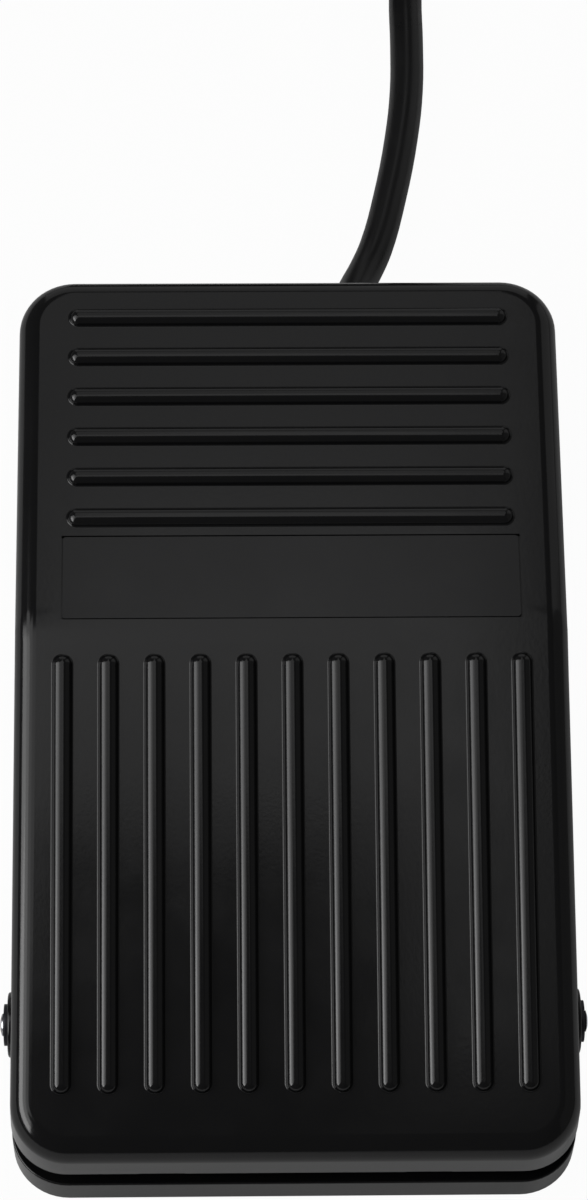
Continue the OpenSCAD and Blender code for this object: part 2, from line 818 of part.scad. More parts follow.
module switch_case() {
    barrel_bore = barrel_d + 2 * run_fit;
    color("#2a2320")
        difference() {
            union() {
                translate([0, case_y + case_l / 2, board_top])
                    block([case_w, case_l, case_h]);
                for (side = [-1, 1])
                    translate([side * (case_w - lug_t) / 2, hinge_y, case_top - eps]) {
                        block([lug_t, lug_d, hinge_rise + eps]);
                        translate([0, 0, hinge_rise + eps])
                            rotate([0, 90, 0])
                                cylinder(d = lug_d, h = lug_t, center = true, $fn = round_fn);
                    }
            }
            bar_x(-case_w, case_w, hinge_y, hinge_z, barrel_bore);
            post([0, plunger_y], case_top - plunger_depth, case_top + 1, plunger_d + 2 * run_fit);
            for (end = [-1, 1])
                bar_x(-case_w, case_w, case_y + case_l / 2 + end * case_hole_pitch / 2,
                    board_top + case_hole_rise, case_hole_d);
        }
}

module switch_terminals() {
    color("#c9b27a")
        for (i = [-1:1])
            translate([0, terminal_y(i), board_top - terminal_size[2] + terminal_inset])
                block([terminal_size[0], terminal_size[1], terminal_size[2] - terminal_inset]);
}

module switch_lever() {
    color("#d0d2d4")
        translate([0, hinge_y, hinge_z]) {
            rotate([0, 90, 0])
                cylinder(d = barrel_d, h = case_w, center = true, $fn = round_fn);
            rotate([-lever_rest, 0, 0])
                translate([0, -lever_l / 2, -lever_t / 2])
                    block([lever_w, lever_l, lever_t]);
        }
}

module switch_plunger() {
    color("#b5312b")
        post([0, plunger_y], case_top + plunger_out - plunger_depth, case_top + plunger_out, plunger_d);
}

// One insulated core, from the cord's cut end to the connector
module core_wire(i) {
    place = i - (len(core_names) - 1) / 2;
    color(core_names[i])
        rod(
            [cord_x + place * core_pitch, entry_y - part_gap, cord_z],
            [connector_x + 2 * place * core_pitch, board_l / 2 + part_gap, board_top + connector_size[2] / 2],
            core_d
        );
}

module cord_clamp() {
    clamp_z = cord_z + cord_d / 2;
    color("#2b2b2e")
        difference() {
            translate([cord_x, clamp_y, clamp_z])
                block(clamp_size);
            for (side = [-1, 1])
                post([cord_x + side * clamp_screw_x, clamp_y], clamp_z - 1, clamp_z + clamp_size[2] + 1, hole_d);
        }
}

module clamp_screws() {
    head_z = cord_z + cord_d / 2 + clamp_size[2];
    color("#c2c5c8")
        for (side = [-1, 1])
            screw([cord_x + side * clamp_screw_x, clamp_y], head_z, head_z - floor_z - part_gap);
}

module strain_relief() {
    bore = cord_d / 2 + push_fit;
    color("#141416")
        translate([cord_x, relief_flange_y, cord_z])
            rotate([-90, 0, 0])
                rotate_extrude($fn = round_fn)
                    polygon([
                        [bore, 0],
                        [relief_flange_d / 2, 0],
                        [relief_flange_d / 2, relief_flange_t],
                        [relief_neck_d / 2, relief_flange_t],
                        [relief_neck_d / 2, relief_flange_t + upstand_t + upstand_inset],
                        [relief_tip_d / 2, relief_flange_t + upstand_t + relief_l],
                        [bore, relief_flange_t + upstand_t + relief_l]
                    ]);
}

module cord_entry() {
    color("#151517")
        translate([cord_x, entry_y, cord_z])
            rotate([-90, 0, 0])
                cylinder(d = cord_d, h = relief_end_y - entry_y, $fn = round_fn);
}

module cord_lead() {
    color("#151517")
        tube(lead_route, cord_d, lead_sides);
}

module cord_coil() {
    color("#151517")
        tube(coil_path, cord_d, coil_sides);
}

module cord_tail() {
    color("#151517")
        tube(tail_route, cord_d, lead_sides);
}

module cord_tie() {
    inner_w = coil_outer - coil_r + cord_d + 2 * tie_slack;
    inner_h = coil_top - coil_z + cord_d + 2 * tie_play;
    color("#0f0f10")
        translate([coil_at[0], coil_at[1], 0])
            rotate([0, 0, tie_turn])
                translate([(coil_outer + coil_r) / 2, tie_w / 2, tie_t + inner_h / 2])
                    rotate([90, 0, 0])
                        linear_extrude(tie_w)
                            difference() {
                                round_rect(inner_w + 2 * tie_t, inner_h + 2 * tie_t, tie_corner + tie_t);
                                round_rect(inner_w, inner_h, tie_corner);
                            }
}

module plug_relief() {
    color("#141416")
        translate([plug_x - plug_relief_l, plug_y, plug_z])
            rotate([0, 90, 0])
                cylinder(d1 = cord_d + 1, d2 = plug_relief_d, h = plug_relief_l, $fn = round_fn);
}

module plug_overmould() {
    color("#141416")
        translate([plug_x, plug_y, plug_z])
            difference() {
                rotate([90, 0, 90])
                    linear_extrude(overmould_l)
                        round_rect(overmould_w, overmould_t, overmould_round);
                translate([overmould_l / 2, -shell_w / 2, -shell_h / 2])
                    cube([overmould_l, shell_w, shell_h]);
            }
}

module plug_shell() {
    color("#cdd0d3")
        translate([plug_x + overmould_l / 2, plug_y, plug_z])
            difference() {
                translate([0, -shell_w / 2, -shell_h / 2])
                    cube([overmould_l / 2 + shell_l, shell_w, shell_h]);
                translate([-1, -shell_w / 2 + sheet_t, -shell_h / 2 + sheet_t])
                    cube([overmould_l + shell_l, shell_w - 2 * sheet_t, shell_h - 2 * sheet_t]);
                for (y = [-1, 1])
                    translate([overmould_l / 2 + window_at[0], y * window_at[1], 0])
                        block([window_size[0], window_size[1], shell_h]);
            }
}

module plug_tongue() {
    inside_w = shell_w - 2 * sheet_t - 2 * tongue_play;
    color("#e9e7e0")
        translate([plug_x + overmould_l / 2, plug_y - inside_w / 2, plug_z - shell_h / 2 + sheet_t])
            cube([overmould_l / 2 + shell_l - tongue_play, inside_w, tongue_t]);
}

module plug_contacts() {
    color("#d8b45a")
        for (i = [0:3])
            translate([
                plug_x + overmould_l + shell_l - 1 - contact_size[0] / 2,
                plug_y + (i - 1.5) * contact_pitch,
                plug_z - shell_h / 2 + sheet_t + tongue_t
            ])
                block(contact_size);
}

base_tray();
rubber_feet();
treadle();
label_plate();
pivot_pin();
retaining_clips();
return_spring(-1);  // return_spring_left
return_spring(1);  // return_spring_right
circuit_board();
board_screws();
controller_chip();
chip_leads();
crystal();
capacitors();
wire_connector();
switch_case();
switch_terminals();
switch_lever();
switch_plunger();
core_wire(0);  // core_wire_red
core_wire(1);  // core_wire_white
core_wire(2);  // core_wire_green
core_wire(3);  // core_wire_black
cord_clamp();
clamp_screws();
strain_relief();
cord_entry();
cord_lead();
cord_coil();
cord_tail();
cord_tie();
plug_relief();
plug_overmould();
plug_shell();
plug_tongue();
plug_contacts();
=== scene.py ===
import json
import math
from contextlib import contextmanager

import bmesh
import bpy
from mathutils import Matrix, Vector


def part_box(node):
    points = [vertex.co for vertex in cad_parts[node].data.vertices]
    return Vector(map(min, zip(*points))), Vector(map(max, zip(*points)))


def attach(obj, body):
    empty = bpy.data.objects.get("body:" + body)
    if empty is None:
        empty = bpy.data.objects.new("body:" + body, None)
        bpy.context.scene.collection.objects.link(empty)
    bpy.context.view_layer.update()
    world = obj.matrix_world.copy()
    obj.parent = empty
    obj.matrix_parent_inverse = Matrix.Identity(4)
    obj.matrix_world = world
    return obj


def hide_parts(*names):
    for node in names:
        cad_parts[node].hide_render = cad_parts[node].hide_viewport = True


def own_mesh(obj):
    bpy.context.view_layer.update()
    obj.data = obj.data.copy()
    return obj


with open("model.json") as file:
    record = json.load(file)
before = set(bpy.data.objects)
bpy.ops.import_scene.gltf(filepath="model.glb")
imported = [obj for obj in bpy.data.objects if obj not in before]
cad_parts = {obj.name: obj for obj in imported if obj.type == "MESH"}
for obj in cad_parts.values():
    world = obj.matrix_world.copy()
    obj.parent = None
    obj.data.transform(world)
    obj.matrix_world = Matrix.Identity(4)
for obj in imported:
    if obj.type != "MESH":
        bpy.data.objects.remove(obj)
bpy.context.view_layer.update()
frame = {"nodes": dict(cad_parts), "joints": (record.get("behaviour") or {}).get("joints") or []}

bl_info = {
    "name": "Foot pedal switch",
    "version": (1, 0, 0),
    "blender": (4, 5, 0),
    "location": "View3D > Sidebar > Pedal",
    "description": "Dresses the packed foot pedal with modelled pieces and procedural finishes",
    "category": "Object",
}

MM = 0.001
SIDES = (-1, 1)
# The frame's axes.
RIGHT, BACK, UP = Vector((1, 0, 0)), Vector((0, 1, 0)), Vector((0, 0, 1))
# Places closer together than this count as one.
TOUCH = 0.01 * MM
# Vertices closer together than this are merged.
MERGE = 0.001 * MM
# Play on each side of a piece in the bore or groove of another.
PLAY = 0.02 * MM
# How far a cutting tool reaches beyond the face that it opens.
OVERSHOOT = 1 * MM
# Least share of a face's normal along a direction that the face looks in, and less of it for up.
FACING, UPWARD = 0.9, 0.8
# Most share along a direction that a face stands across, and more of it for an upright wall.
ACROSS, UPRIGHT = 0.1, 0.4

# The treadle is modelled pressed, where its skirt lies level, and is swung up to its rest about the pin.
PRESS = next(joint for joint in frame["joints"] if joint["name"] == "treadle_press")
PIN = Vector(PRESS["pos_m"])
TRAVEL = math.radians(PRESS["range_deg"][1])

# Bends of the cord as it leaves the tray: millimetres across and back, and the share of its drop.
LEAD_BENDS = (
    (0, 1, 0), (0.1, 2.5, 0.05), (0.75, 6.5, 0.375), (1.9, 9.9, 0.725), (3.2, 12.9, 0.925), (4.6, 16.5, 1),
    (6.4, 23.5, 1), (8.1, 32.5, 1), (8.9, 39.5, 1), (9.1, 46.5, 1), (9.1, 53.5, 1), (9.6, 60.5, 1),
    (11.8, 67.5, 0.95), (14.3, 74.5, 0.875), (15.9, 80.5, 0.8),
)
# How far the cord drops from its exit to the floor, in millimetres.
LEAD_DROP = 4
# Bends of the cord's tail: millimetres across from the coil's end, and shares of the way forward and up
# to the plug.
TAIL_BENDS = (
    (0, 0.08, 0), (0.1, 0.25, 0.1), (1.9, 0.55, 0.44), (5.9, 0.85, 0.84), (9.9, 0.975, 0.98), (12.9, 1, 1),
)


def linear(hex_code):
    """Linear colour of an sRGB hex value."""
    channels = [int(hex_code[i:i + 2], 16) / 255 for i in (1, 3, 5)]
    return [c / 12.92 if c <= 0.04045 else ((c + 0.055) / 1.055) ** 2.4 for c in channels]


def length_prop(name, description, millimetres):
    """A length that is written in millimetres and held in metres."""
    return bpy.props.FloatProperty(
        name=name, description=description, default=millimetres * MM, unit="LENGTH", precision=4
    )


def angle_prop(name, description, degrees):
    """An angle that is written in degrees."""
    return bpy.props.FloatProperty(
        name=name, description=description, default=math.radians(degrees), unit="ROTATION"
    )


def count_prop(name, description, number):
    """A number of like features."""
    return bpy.props.IntProperty(name=name, description=description, default=number, min=1)


def colour_prop(name, description, hex_code):
    """A colour that is written as an sRGB hex value."""
    return bpy.props.FloatVectorProperty(
        name=name, description=description, default=linear(hex_code), subtype="COLOR", size=3, min=0, max=1
    )


class PedalTreadle(bpy.types.PropertyGroup):
    """Sizes of the treadle and of what is moulded on it"""

    width: length_prop("Width", "Width across the skirt's edge", 62.4)
    length: length_prop("Length", "Length along the skirt's edge", 102)
    corner_r: length_prop("Corner radius", "Radius of the corners seen from above", 6.3)
    wall: length_prop("Wall", "Thickness of the moulded wall", 2)
    skirt_z: length_prop("Skirt height", "Height of the pressed skirt's edge above the floor", 9.7)
    skirt_round: length_prop("Skirt rounding", "Rounding of the skirt's lower edges", 0.2)
    heel_h: length_prop("Heel height", "Height of the heel wall up to the near slope", 6.5)
    crease_y: length_prop("Crease place", "How far the crease lies behind the middle", 6.8)
    crease_r: length_prop("Crease radius", "Radius that blends the two slopes", 20)
    near_slope: angle_prop("Near slope", "Rise of the near slope when pressed", 10.5)
    far_slope: angle_prop("Far slope", "Fall of the far slope when pressed", 2.3)
    edge_r: length_prop("Edge radius", "Radius of the rounded top edges", 2.6)
    side_draft: angle_prop("Side draft", "Lean of the side walls", 1.8)
    end_draft: angle_prop("End draft", "Lean of the heel and toe walls", 1.5)
    rib_w: length_prop("Rib width", "Width of a grip rib", 2.2)
    rib_h: length_prop("Rib height", "Height of a grip rib", 0.9)
    rib_fillet: length_prop("Rib fillet", "Radius at the foot of a grip rib", 0.22)
    rib_pitch: length_prop("Rib spacing", "Spacing of the grip ribs", 5.08)
    long_ribs: count_prop("Long ribs", "Number of lengthwise ribs on the near slope", 11)
    long_rib_start: length_prop("Long rib start", "Distance of the lengthwise ribs from the crease", 3.4)
    long_rib_l: length_prop("Long rib length", "Length of a lengthwise rib", 48.4)
    cross_ribs: count_prop("Cross ribs", "Number of crosswise ribs on the far slope", 6)
    cross_rib_start: length_prop("Cross rib start", "Distance of the first cross rib from the crease", 13.1)
    cross_rib_l: length_prop("Cross rib length", "Length of a crosswise rib", 50)
    label_w: length_prop("Label width", "Width of the bare label plate", 51)
    label_l: length_prop("Label depth", "Depth of the bare label plate, front to back", 10)
    label_t: length_prop("Label thickness", "Thickness of the bare label plate", 0.3)
    label_start: length_prop("Label start", "Distance of the label plate from the crease", 0.8)
    label_play: length_prop("Label play", "Gap round the label plate in its recess", 0.1)
    label_sink: length_prop("Label sink", "How far the label plate lies below the slope", 0.05)
    label_corner_r: length_prop("Label corner", "Radius of the label plate's corners", 0.4)
    label_round: length_prop("Label rounding", "Rounding of the label plate's upper edges", 0.06)
    notch_x: length_prop("Notch across", "Distance of the skirt's notches from the middle", 14.6)
    notch_w: length_prop("Notch width", "Width of the notches that clear the heel stops", 5)
    notch_h: length_prop("Notch height", "Height of those notches", 0.3)
    boss_d: length_prop("Boss diameter", "Diameter of the round pivot bosses", 7.2)
    boss_inner: length_prop("Boss inner face", "Distance of the bosses' inner faces from the middle", 28.5)
    boss_face: length_prop("Boss face", "Distance of the bosses' outer faces from the middle", 31.5)
    boss_round: length_prop("Boss rounding", "Rounding of the bosses' outer edges", 0.25)
    bore_d: length_prop("Pivot bore", "Diameter of the bore for the pin", 2.6)
    post_y: length_prop("Switch post place", "Place of the post that presses the switch lever", -3.5)
    post_d: length_prop("Switch post diameter", "Diameter of that post", 3.4)
    post_z: length_prop("Switch post end", "Height of that post's round end at rest", 21.57)
    seat_d: length_prop("Spring seat diameter", "Diameter of the bosses that the springs press on", 11)


class PedalBase(bpy.types.PropertyGroup):
    """Sizes of the tray's fittings, the pivot and the springs"""

    width: length_prop("Width", "Width of the tray", 62.4)
    length: length_prop("Length", "Length of the tray", 102)
    corner_r: length_prop("Corner radius", "Radius of the tray's corners", 6.3)
    rim_round: length_prop("Rim rounding", "Rounding of the rim's edges", 0.2)
    foot_d: length_prop("Foot diameter", "Diameter of a rubber foot", 9)
    foot_h: length_prop("Foot height", "Height of a rubber foot with its sunk part", 1.8)
    foot_round: length_prop("Foot rounding", "Rounding of a foot's lower edge", 0.35)
    foot_ring: length_prop("Foot ring", "Width of the ring that a foot stands on", 1.1)
    foot_dish: length_prop("Foot dish", "Depth of the dish inside that ring", 0.3)
    foot_x: length_prop("Foot across", "Distance of the feet from the middle, across", 21.2)
    foot_y: length_prop("Foot along", "Distance of the feet from the middle, along", 41)
    pin_d: length_prop("Pin diameter", "Diameter of the pivot pin", 2.5)
    pin_end: length_prop("Pin end", "Distance of the pin's ends from the middle", 32.35)
    groove: length_prop("Groove depth", "Depth of the pin's grooves for the clips", 0.3)
    clip_d: length_prop("Clip diameter", "Diameter of a retaining clip", 4.6)
    clip_t: length_prop("Clip thickness", "Thickness of a retaining clip", 0.4)
    clip_x: length_prop("Clip place", "Distance of the clips' inner faces from the middle", 31.55)
    clip_notch_d: length_prop("Clip notch", "Diameter of a clip's round notches", 1.2)
    spring_d: length_prop("Spring diameter", "Outer diameter of a return spring", 8)
    spring_wire: length_prop("Spring wire", "Diameter of the springs' wire", 0.9)
    spring_x: length_prop("Spring across", "Distance of the springs from the middle, across", 17)
    spring_y: length_prop("Spring along", "Distance of the springs behind the middle", 32)
    spring_z: length_prop("Spring seat", "Height of the springs' seats above the floor", 9)
    spring_l: length_prop("Spring length", "Length of a spring at rest", 15.6)
    spring_turns: count_prop("Spring turns", "Turns of a spring", 6)
    core_d: length_prop("Core diameter", "Diameter of an insulated core", 0.9)
    core_pitch: length_prop("Core spacing", "Spacing of the cores where they leave the cord", 0.95)
    core_x: length_prop("Connector across", "Place of the board's connector across the tray", 4)
    core_y: length_prop("Core end", "Place of the cores' ends at the connector", 18.3)
    core_z: length_prop("Core height", "Height of the cores' ends at the connector", 10.6)


class PedalCord(bpy.types.PropertyGroup):
    """Sizes of the cord, of the coil that its spare length is put away in, and of its plug"""

    diameter: length_prop("Diameter", "Diameter of the cord's jacket", 4.2)
    length: length_prop("Length", "Real length of the cord", 1800)
    entry_y: length_prop("Inner end", "Place of the jacket's cut end inside the tray", 36)
    exit_x: length_prop("Exit across", "Place of the exit across the tray", 7)
    exit_y: length_prop("Exit", "Place of the strain relief's end behind the middle", 54.5)
    exit_z: length_prop("Exit height", "Height of the exit above the floor", 6.1)
    relief_y: length_prop("Relief flange", "Place of the strain relief's flange inside the tray", 44.5)
    coil_x: length_prop("Coil across", "Place of the coil's middle across", -6)
    coil_y: length_prop("Coil behind", "Place of the coil's middle behind the middle of the pedal", 145)
    coil_r: length_prop("Coil radius", "Radius of the innermost turn", 17)
    coil_outer: length_prop("Coil outer radius", "Radius of the outermost turn", 29.5)
    coil_pitch: length_prop("Turn spacing", "Spacing of the coil's layers", 5)
    coil_z: length_prop("Coil height", "Height of the lowest turn above the floor", 3)
    coil_layers: count_prop("Coil layers", "Number of layers of turns", 4)
    layer_turns: count_prop("Turns in a layer", "Number of turns in a layer", 3)
    climb: bpy.props.FloatProperty(
        name="Climb", description="Share of a turn over which the cord climbs to the next layer", default=0.5,
        min=0.1, max=1, subtype="FACTOR",
    )
    tie_w: length_prop("Tie width", "Width of the tie round the coil", 5)
    tie_turn: angle_prop("Tie place", "Place of the tie round the coil", 75)
    plug_x: length_prop("Plug across", "Where the plug's grip starts", -11)
    plug_y: length_prop("Plug behind", "Place of the plug behind the middle of the pedal", 129)
    plug_z: length_prop("Plug height", "Height of the plug's middle, on the coil", 24.2)
    plug_relief_l: length_prop("Plug relief length", "Length of the plug's strain relief", 9)
    plug_relief_d: length_prop("Plug relief diameter", "Largest diameter of the plug's strain relief", 6.4)
    grip_l: length_prop("Grip length", "Length of the plug's grip", 26)
    grip_w: length_prop("Grip width", "Width of the plug's grip", 15.6)
    grip_h: length_prop("Grip height", "Height of the plug's grip", 7.6)
    grip_round: length_prop("Grip rounding", "Rounding of the grip's long edges", 1.6)
    shell_l: length_prop("Shell length", "Length of the metal shell outside the grip", 18.5)
    shell_w: length_prop("Shell width", "Width of the metal shell", 12)
    shell_h: length_prop("Shell height", "Height of the metal shell", 4.5)
    sheet_t: length_prop("Sheet thickness", "Thickness of the shell's sheet metal", 0.3)


class PedalStage(bpy.types.PropertyGroup):
    """Where the camera stands and what it looks at"""

    target_x: length_prop("Target across", "Point the camera looks at, across", 0.465)
    target_y: length_prop("Target behind", "Point the camera looks at, behind the middle", 13.417)
    target_z: length_prop("Target height", "Point the camera looks at, above the floor", 20)
    distance: length_prop("Distance", "Distance of the camera from that point", 477.25)
    elevation: angle_prop("Elevation", "How far the camera stands above level", 63.5)
    azimuth: angle_prop("Azimuth", "How far the camera stands to the right of straight in front", -2.363)
    roll: angle_prop("Roll", "Turn of the camera about its own line of sight", 1.829)
    lens: bpy.props.FloatProperty(
        name="Lens", description="Focal length on a 36 mm frame", default=126, unit="CAMERA"
    )


class PedalColours(bpy.types.PropertyGroup):
    """Colours of the finishes"""

    moulding: colour_prop("Moulding", "Treadle and tray", "#101011")
    label: colour_prop("Label", "Bare label plate", "#1a1a1b")
    rubber: colour_prop("Rubber", "Feet", "#171717")
    jacket: colour_prop("Jacket", "Cord, strain relief and plug", "#121213")
    nylon_black: colour_prop("Black nylon", "Tie and cord clamp", "#19191a")
    nylon_white: colour_prop("White nylon", "Wire connector and plug tongue", "#e6e3d8")
    acetal: colour_prop("Acetal", "Switch plunger", "#e9e6dc")
    switch: colour_prop("Switch case", "Microswitch case", "#242427")
    epoxy: colour_prop("Epoxy", "Controller chip", "#1b1b1d")
    sleeve: colour_prop("Sleeve", "Capacitor sleeves", "#1d2b52")
    mask: colour_prop("Solder mask", "Circuit board", "#1d5b38")
    steel: colour_prop("Steel", "Pin, springs and lever", "#c3c5c8")
    nickel: colour_prop("Nickel", "Screws and plug shell", "#cfd1d2")
    phosphate: colour_prop("Phosphate", "Retaining clips", "#4a4a4e")
    tin: colour_prop("Tin", "Leads and crystal can", "#c9cacc")
    brass: colour_prop("Brass", "Switch terminals", "#c6a357")
    gold: colour_prop("Gold", "Plug contacts", "#d9b45c")
    core_red: colour_prop("Red core", "Red insulated core", "#a8201f")
    core_white: colour_prop("White core", "White insulated core", "#dcdad4")
    core_green: colour_prop("Green core", "Green insulated core", "#1f7a3c")
    core_black: colour_prop("Black core", "Black insulated core", "#1b1b1c")
    floor: colour_prop("Floor", "Floor under the pedal", "#d0d0d0")


# Modelling helpers


def select_only(piece):
    """Make a piece the only one that the next operator acts on."""
    bpy.ops.object.select_all(action="DESELECT")
    piece.select_set(True)
    bpy.context.view_layer.objects.active = piece


def settle(piece):
    """Put a piece's place, turn and scale into its mesh."""
    select_only(piece)
    bpy.ops.object.transform_apply(location=True, rotation=True, scale=True)


def add_primitive(add, name, **settings):
    """Add one primitive, alone in the selection, with its place and size in its mesh."""
    bpy.ops.object.select_all(action="DESELECT")
    add(**settings)
    piece = bpy.context.object
    piece.name = name
    piece.data.name = name
    settle(piece)
    return piece


def block(name, low, high):
    """A box between two corners."""
    middle = [(a + b) / 2 for a, b in zip(low, high)]
    spans = [b - a for a, b in zip(low, high)]
    return add_primitive(bpy.ops.mesh.primitive_cube_add, name, size=1, location=middle, scale=spans)


def cylinder_x(name, x0, x1, y, z, diameter, sides=64):
    """A cylinder along X between two places."""
    return add_primitive(
        bpy.ops.mesh.primitive_cylinder_add, name, vertices=sides, radius=diameter / 2, depth=x1 - x0,
        location=((x0 + x1) / 2, y, z), rotation=(0, math.pi / 2, 0),
    )


def cylinder_z(name, x, y, z0, z1, diameter, sides=48):
    """An upright cylinder between two heights."""
    return add_primitive(
        bpy.ops.mesh.primitive_cylinder_add, name, vertices=sides, radius=diameter / 2, depth=z1 - z0,
        location=(x, y, (z0 + z1) / 2),
    )


@contextmanager
def editing(piece):
    """Edit mode on one piece alone."""
    select_only(piece)
    bpy.ops.object.mode_set(mode="EDIT")
    yield
    bpy.ops.object.mode_set(mode="OBJECT")


def pick(piece, kind, test):
    """In edit mode, select only the vertices, edges or faces that pass a test."""
    bpy.ops.mesh.select_mode(type=kind)
    bpy.ops.mesh.select_all(action="DESELECT")
    shape = bmesh.from_edit_mesh(piece.data)
    shape.normal_update()
    elements = {"VERT": shape.verts, "EDGE": shape.edges, "FACE": shape.faces}[kind]
    found = [element for element in elements if test(element)]
    if not found:
        raise RuntimeError(f"{piece.name}: nothing to select for the next step")
    for element in found:
        element.select_set(True)
    shape.select_flush_mode()
    bmesh.update_edit_mesh(piece.data)


def reshape(piece, test, place):
    """In edit mode, move each vertex that passes a test to the place worked out from where it is."""
    shape = bmesh.from_edit_mesh(piece.data)
    for vertex in shape.verts:
        if test(vertex):
            vertex.co = place(vertex.co)
    bmesh.update_edit_mesh(piece.data)


def cut_all(places, direction):
    """In edit mode, cut the whole mesh along planes across one direction."""
    for place in places:
        bpy.ops.mesh.select_all(action="SELECT")
        bpy.ops.mesh.bisect(plane_co=direction * place, plane_no=direction)


def between(edge, one, other):
    """True if an edge joins a face that passes one test to a face that passes the other."""
    faces = edge.link_faces
    if len(faces) != 2:
        return False
    a, b = faces
    return (one(a) and other(b)) or (one(b) and other(a))


def looks_up(face):
    """True for a face that looks up."""
    return face.normal.z > UPWARD


def looks_down(face):
    """True for a face that looks down."""
    return face.normal.z < -FACING


def looks_sideways(face):
    """True for a face of an upright wall."""
    return abs(face.normal.z) < UPRIGHT


def extrude(offset):
    """Extrude the selected faces as one region by an offset."""
    bpy.ops.mesh.extrude_region_move(TRANSFORM_OT_translate={"value": offset})


def bevel(width, segments):
    """Round the selected edges."""
    bpy.ops.mesh.bevel(
        offset=width, offset_type="OFFSET", segments=segments, affect="EDGES", clamp_overlap=False
    )


def soften(piece, width, segments=2):
    """Round every sharp edge of a piece a little, as a tool or a tumbling drum leaves it."""
    sharp_degrees = 40
    select_only(piece)
    bpy.ops.object.modifier_add(type="BEVEL")
    modifier = piece.modifiers[-1]
    modifier.width = width
    modifier.segments = segments
    modifier.limit_method = "ANGLE"
    modifier.angle_limit = math.radians(sharp_degrees)
    bpy.ops.object.modifier_apply(modifier=modifier.name)


def combine(piece, tool, operation):
    """Unite a piece with a tool or cut it by the tool, which is used up."""
    select_only(piece)
    bpy.ops.object.modifier_add(type="BOOLEAN")
    modifier = piece.modifiers[-1]
    modifier.operation = operation
    modifier.solver = "MANIFOLD"
    modifier.object = tool
    bpy.ops.object.modifier_apply(modifier=modifier.name)
    bpy.data.objects.remove(tool)


def join(pieces):
    """Join pieces into the first of them."""
    select_only(pieces[0])
    for piece in pieces[1:]:
        piece.select_set(True)
    bpy.ops.object.join()
    return pieces[0]


def copy_of(piece):
    """A copy of a piece with its own mesh."""
    select_only(piece)
    bpy.ops.object.duplicate(linked=False)
    return bpy.context.object


def lay(piece, place, along, up):
    """Put a piece that was modelled at the origin, along Y with Z up, at a place along a direction."""
    turn = Matrix((along.cross(up), along, up)).transposed().to_4x4()
    piece.matrix_world = Matrix.Translation(place) @ turn
    settle(piece)
    return piece


def lay_copies(piece, name, spots):
    """Lay a copy of a piece, which is used up, at each spot, and join the copies.

    A spot is a place with the directions that the copy's Y and Z axes take there.
    """
    copies = [lay(copy_of(piece), *spot) for spot in spots]
    bpy.data.objects.remove(piece)
    joined = join(copies)
    joined.name = name
    return joined


def turned(name, profile, bore_d=0):
    """A turned piece along Z: a cylinder cut into rings, each brought to the radius of its place."""
    radii = dict(profile)
    start, end = profile[0][0], profile[-1][0]
    piece = cylinder_z(name, 0, 0, start, end, 2 * max(radii.values()))

    def to_radius(co):
        nearest = min(radii, key=lambda place: abs(place - co.z))
        flat = Vector((co.x, co.y, 0)).normalized() * radii[nearest]
        return Vector((flat.x, flat.y, co.z))

    with editing(piece):
        cut_all([place for place, _ in profile[1:-1]], UP)
        reshape(piece, lambda vertex: True, to_radius)
    if bore_d:
        combine(piece, cylinder_z("bore", 0, 0, start - OVERSHOOT, end + OVERSHOOT, bore_d), "DIFFERENCE")
    return piece


def merged_copy(node, name):
    """A copy of a CAD node as one clean mesh, ready to be worked on."""
    flat_degrees = 0.5
    piece = bpy.data.objects.new(name, frame["nodes"][node].data.copy())
    piece.data.name = name
    piece.data.materials.clear()
    bpy.context.scene.collection.objects.link(piece)
    with editing(piece):
        bpy.ops.mesh.customdata_custom_splitnormals_clear()
        bpy.ops.mesh.select_all(action="SELECT")
        bpy.ops.mesh.remove_doubles(threshold=MERGE)
        bpy.ops.mesh.dissolve_limited(angle_limit=math.radians(flat_degrees))
    return piece


def round_bar(name, points, diameter, steps, roundness=4):
    """A round bar along one open spline through points, with steps between them."""
    curve = bpy.data.curves.new(name, "CURVE")
    curve.dimensions = "3D"
    curve.bevel_depth = diameter / 2
    curve.bevel_resolution = roundness
    curve.resolution_u = steps
    curve.use_fill_caps = True
    spline = curve.splines.new("BEZIER")
    spline.bezier_points.add(len(points) - 1)
    for knot, place in zip(spline.bezier_points, points):
        knot.co = place
        knot.handle_left_type = "AUTO"
        knot.handle_right_type = "AUTO"
    piece = bpy.data.objects.new(name, curve)
    bpy.context.scene.collection.objects.link(piece)
    return piece


def as_mesh(piece):
    """Turn a curve into a closed mesh."""
    select_only(piece)
    bpy.ops.object.convert(target="MESH")
    piece = bpy.context.object
    with editing(piece):
        bpy.ops.mesh.select_all(action="SELECT")
        bpy.ops.mesh.remove_doubles(threshold=MERGE)
        bpy.ops.mesh.normals_make_consistent(inside=False)
    return piece


def dress(piece, body, material, nodes):
    """Shade a finished piece, give it its finish, and let it ride a body in place of CAD nodes."""
    sharp_degrees = 35
    select_only(piece)
    if piece.type == "MESH":
        bpy.ops.object.shade_smooth_by_angle(angle=math.radians(sharp_degrees))
        bpy.ops.object.modifier_add(type="WEIGHTED_NORMAL")
        piece.modifiers[-1].keep_sharp = True
        bpy.ops.object.modifier_apply(modifier=piece.modifiers[-1].name)
    piece.data.materials.clear()
    piece.data.materials.append(material)
    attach(piece, body)
    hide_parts(*nodes)


# Finishes


def add_node(tree, kind, inputs=None, **settings):
    """Add a shader node with its settings; an input is a value or another node's output."""
    node = tree.nodes.new(kind)
    for name, value in settings.items():
        setattr(node, name, value)
    for name, value in (inputs or {}).items():
        if isinstance(value, bpy.types.NodeSocket):
            tree.links.new(value, node.inputs[name])
        else:
            node.inputs[name].default_value = value
    return node


def new_finish(name):
    """An empty material with its node tree and the shader that everything feeds."""
    material = bpy.data.materials.new(name)
    material.use_nodes = True
    tree = material.node_tree
    return material, tree, tree.nodes["Principled BSDF"]


